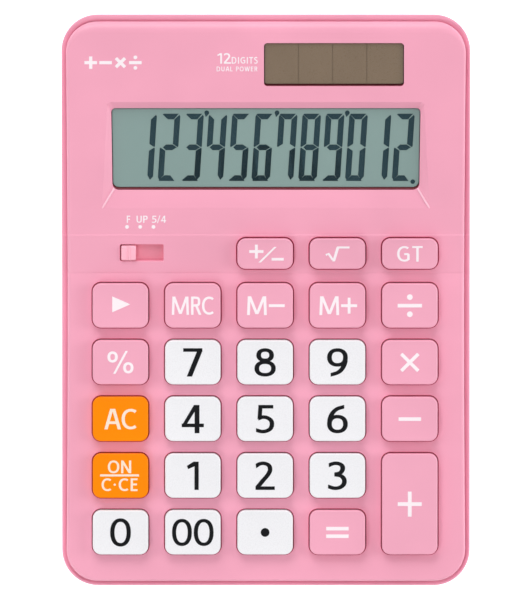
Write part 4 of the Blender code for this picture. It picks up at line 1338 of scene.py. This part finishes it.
def make_solar_cells():
    """The cells of the solar panel, in one piece with fine grooves between them."""
    window = behind_lip(solar_path(), SOLAR_LIP)
    sheet = oblong(SOLAR_HALF_X + 1.2, SOLAR_HALF_V + 1.1, 0.3)
    bottom = heights("solar_panel", SOLAR)[1] + CELL_LIFT
    cells, top = backed_window("solar_window", SOLAR, window, -SOLAR_SUNK, sheet, bottom)
    for k in range(1, CELL_COUNT):
        middle = CELL_SHIFT + (k - CELL_COUNT / 2) * CELL_PITCH
        low = (middle - CELL_GROOVE / 2, -2 * SOLAR_HALF_V, top - CELL_GROOVE_DEPTH)
        high = (middle + CELL_GROOVE / 2, 2 * SOLAR_HALF_V, 1)
        cells = boolean(cells, solid(block, low, high, SOLAR), "DIFFERENCE")
    piece("solar_cell_strips", cells, "solar")


def face_ink(name, polygons, centre):
    """Lettering on the display facet."""
    ink = solid(slab, polygons, flat, INK_LOW / 3, INK_HIGH, on_face(*centre, DISPLAY_TILT, face_z))
    piece(name, ink, "white_ink")


def make_face_lettering():
    signs = plus(3.3, 3.3, 0.85, (-5.85, 0)) + bar(3.3, 0.85, (-1.95, 0)) + times(3.0, 0.85, (1.95, 0))
    signs += divide(3.3, 0.85, 0.5, 1.4, (5.85, 0))
    face_ink("operator_row", signs, (-40.05, 62.3))
    note = words("12", 2.8, (-3.4, 0.5), SMALL_PEN, 0.06, 1.05)
    note += words("DIGITS", 1.75, (2.0, 0), SMALL_PEN, 0.1, 1.0)
    face_ink("digits_note", note, (-7.55, 62.9))
    face_ink("power_note", words("DUAL POWER", 1.25, (0, 0), SMALL_PEN, 0.1, 1.05), (-7.55, 60.65))
    marks = words("F", 1.9, (-3.45, 0), SMALL_PEN)
    marks += words("UP", 1.9, (0.1, 0), SMALL_PEN, wide=1.12)
    marks += words("5/4", 1.9, (4.55, 0), SMALL_PEN, wide=1.04)
    for x in (-3.85, -0.4, 3.1):
        marks += dot(0.5, (x, -2.05))
    face_ink("rounding_marks", marks, (-32.6, 21.3))


# ---- switch, feet and screws

def make_knob():
    low, high = tilted_box("rounding_switch_knob", BAND_TILT)
    place = on_face((low.x + high.x) / 2, SLOT_Y, BAND_TILT)
    bottom, top = heights("rounding_switch_knob", SLOT, BAND_TILT)
    plate_top = PLATE_RISE - WALL - GAP
    grip = oblong(KNOB_HALF, KNOB_HALF, KNOB_EDGE)
    rings = [ring(grip, 0, plate_top - 0.4)]
    for sine, cosine in quarter(4):
        rings.append(ring(grip, KNOB_EDGE * (1 - cosine), top - KNOB_EDGE * (1 - sine)))
    across = place @ Matrix.Translation((0, 0, top + KNOB_GROOVE / 2)) @ Matrix.Rotation(math.pi / 2, 4, "X")
    groove = solid(turned, (0, 0), [(KNOB_GROOVE, -3), (KNOB_GROOVE, 3)], across, 48)
    knob = boolean(solid(skin, rings, place), groove, "DIFFERENCE")
    piece("rounding_knob", knob, "knob_pink", ["rounding_switch_knob"], "rounding_switch", True)

    stem_path = oblong(KNOB_STEM_HALF, KNOB_STEM_HALF, 0.4)
    plate = oblong(PLATE_HALF_X, PLATE_HALF_V, 0.4)
    rings = [
        ring(stem_path, 0, bottom),
        ring(stem_path, 0, plate_top - KNOB_PLATE_THICK),
        ring(plate, 0, plate_top - KNOB_PLATE_THICK),
        ring(plate, 0, plate_top),
    ]
    # The plate's darker, redder pink paints the shade on the slot's floor.
    piece("rounding_knob_plate", solid(skin, rings, place), "slot_floor_shade_pink", (), "rounding_switch")


def nodes_with(text):
    return [node for node in sorted(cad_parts) if text in node]


def make_feet():
    for node in nodes_with("foot_"):
        low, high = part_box(node)
        centre = (low + high) / 2 / MM
        sections = [(FOOT_RADIUS - 1.5, 0.25), (FOOT_RADIUS - 1.3, 0.0)]
        for sine, cosine in quarter(4):
            sections.append((FOOT_RADIUS - FOOT_EDGE * (1 - sine), FOOT_EDGE * (1 - cosine)))
        sections.append((FOOT_RADIUS, high.z / MM))
        foot = solid(turned, (centre.x, centre.y), sections)
        piece(node + "_pad", foot, "rubber", [node])


def make_screws():
    """Pan-head screws, head down, with a cross recess, thread and point."""
    shank = 0.8
    pitch = 0.8
    core = 0.72 * shank
    for node in nodes_with("_screw_"):
        tilt = DECK_TILT if node.startswith("board") else 0.0
        low, high = tilted_box(node, tilt)
        turn = Matrix.Rotation(tilt, 4, "X")
        head = (high.x - low.x) / 2
        height = 1.2 if tilt else 1.7
        x = (low.x + high.x) / 2
        y = (low.y + high.y) / 2
        under = low.z + height - GAP
        dome = ((0.35, 0), (0.72, 0.12), (0.92, 0.3), (1, 0.55))
        sections = [(across * head, low.z + up * height) for across, up in dome] + [(head, under)]
        for k in range(int((high.z - pitch - under) // pitch)):
            sections += [(core, under + pitch * k + 0.2), (shank, under + pitch * k + 0.6)]
        sections += [(core, high.z - 0.6), (0.3 * shank, high.z)]
        screw = solid(turned, (x, y), sections, turn, 24)
        long = 0.62 * head
        short = 0.14 * head
        for half_x, half_y in ((long, short), (short, long)):
            slot_low = (x - half_x, y - half_y, low.z - 1)
            slot_high = (x + half_x, y + half_y, low.z + 0.45 * height)
            screw = boolean(screw, solid(block, slot_low, slot_high, turn), "DIFFERENCE")
        piece(node + "_fine", screw, "steel", [node])


# ---- CAD nodes that stay

KEPT = {
    "lcd_panel": "lcd", "solar_panel": "solar_gap",
    "lcd_connector": "ribbon", "circuit_board": "board", "chip_blob": "epoxy", "key_mat": "silicone",
    "battery_cell": "cell", "battery_contact_positive": "steel", "battery_contact_negative": "steel",
    "switch_contact": "steel", "solar_wire_positive": "red_wire", "battery_wire_positive": "red_wire",
    "solar_wire_negative": "black_wire", "battery_wire_negative": "black_wire",
}


def dress_kept_nodes():
    for node, look in KEPT.items():
        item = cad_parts[node]
        item.data.materials.clear()
        item.data.materials.append(LOOKS[look])


# ---- stage, in metres

def make_stage():
    half = 3.0
    floor = bmesh.new()
    floor.faces.new([floor.verts.new((half * x, half * y, 0)) for x, y in SQUARE])
    look = surface("pale_floor", (0.92, 0.92, 0.92), 0.6, grain=2.0, relief=0.0, drift=0.005, drift_size=400)
    shader = look.node_tree.nodes["Principled BSDF"]
    shader.inputs["Emission Color"].default_value = (1, 1, 1, 1)
    shader.inputs["Emission Strength"].default_value = 0.6
    mesh = mesh_of("floor", floor)
    mesh.materials.append(look)
    item = add_item("floor", mesh)


def make_light():
    """Soft boxes that face the calculator (place, size and power of each), and an even surround."""
    for name, place, size, power in (
        ("softbox_rear", (-0.2, 0.88, 0.8), (1.0, 0.7), 8.7),
        ("softbox_front", (-0.34, -0.46, 0.62), (0.3, 0.2), 1.5),
        ("softbox_left", (-0.95, 0.1, 0.45), (0.5, 0.5), 1.4),
        ("softbox_right", (0.95, 0.05, 0.4), (0.6, 0.6), 4.9),
        ("softbox_low", (0.1, -0.95, 0.35), (0.6, 0.4), 1.3),
    ):
        lamp = bpy.data.lights.new(name, "AREA")
        lamp.shape = "RECTANGLE"
        lamp.size, lamp.size_y = size
        lamp.energy = power
        item = add_item(name, lamp)
        item.location = place
        item.rotation_euler = (-Vector(place)).to_track_quat("-Z", "Y").to_euler()
    world = bpy.data.worlds.new("studio")
    world.use_nodes = True
    background = world.node_tree.nodes["Background"]
    background.inputs["Color"].default_value = (1, 1, 1, 1)
    background.inputs["Strength"].default_value = 0.37
    bpy.context.scene.world = world


def make_camera():
    """Straight above and far away, so that the view is nearly parallel."""
    distance = 5.0
    seen = 0.15765  # length that fills the picture's height, at the middle of the calculator's thickness
    lens = bpy.data.cameras.new("camera")
    lens.sensor_fit = "VERTICAL"
    lens.sensor_height = 36
    lens.lens = lens.sensor_height * distance / seen
    lens.clip_start = 0.1
    lens.clip_end = 20
    item = add_item("camera", lens)
    middle_z = 0.016
    item.location = (-0.0001, 0.0001, distance + middle_z)
    bpy.context.scene.camera = item


make_top_case()
make_bottom_case()
make_battery_cover()
for name, key in KEYS.items():
    make_key(name, key)
    make_legend(name, key)
make_display()
make_solar_cells()
make_shade_linings()
make_key_gap_shade()
make_mitre_lines()
make_face_lettering()
make_knob()
make_feet()
make_screws()
dress_kept_nodes()
make_stage()
make_light()
make_camera()
bpy.context.scene.view_settings.view_transform = "Standard"
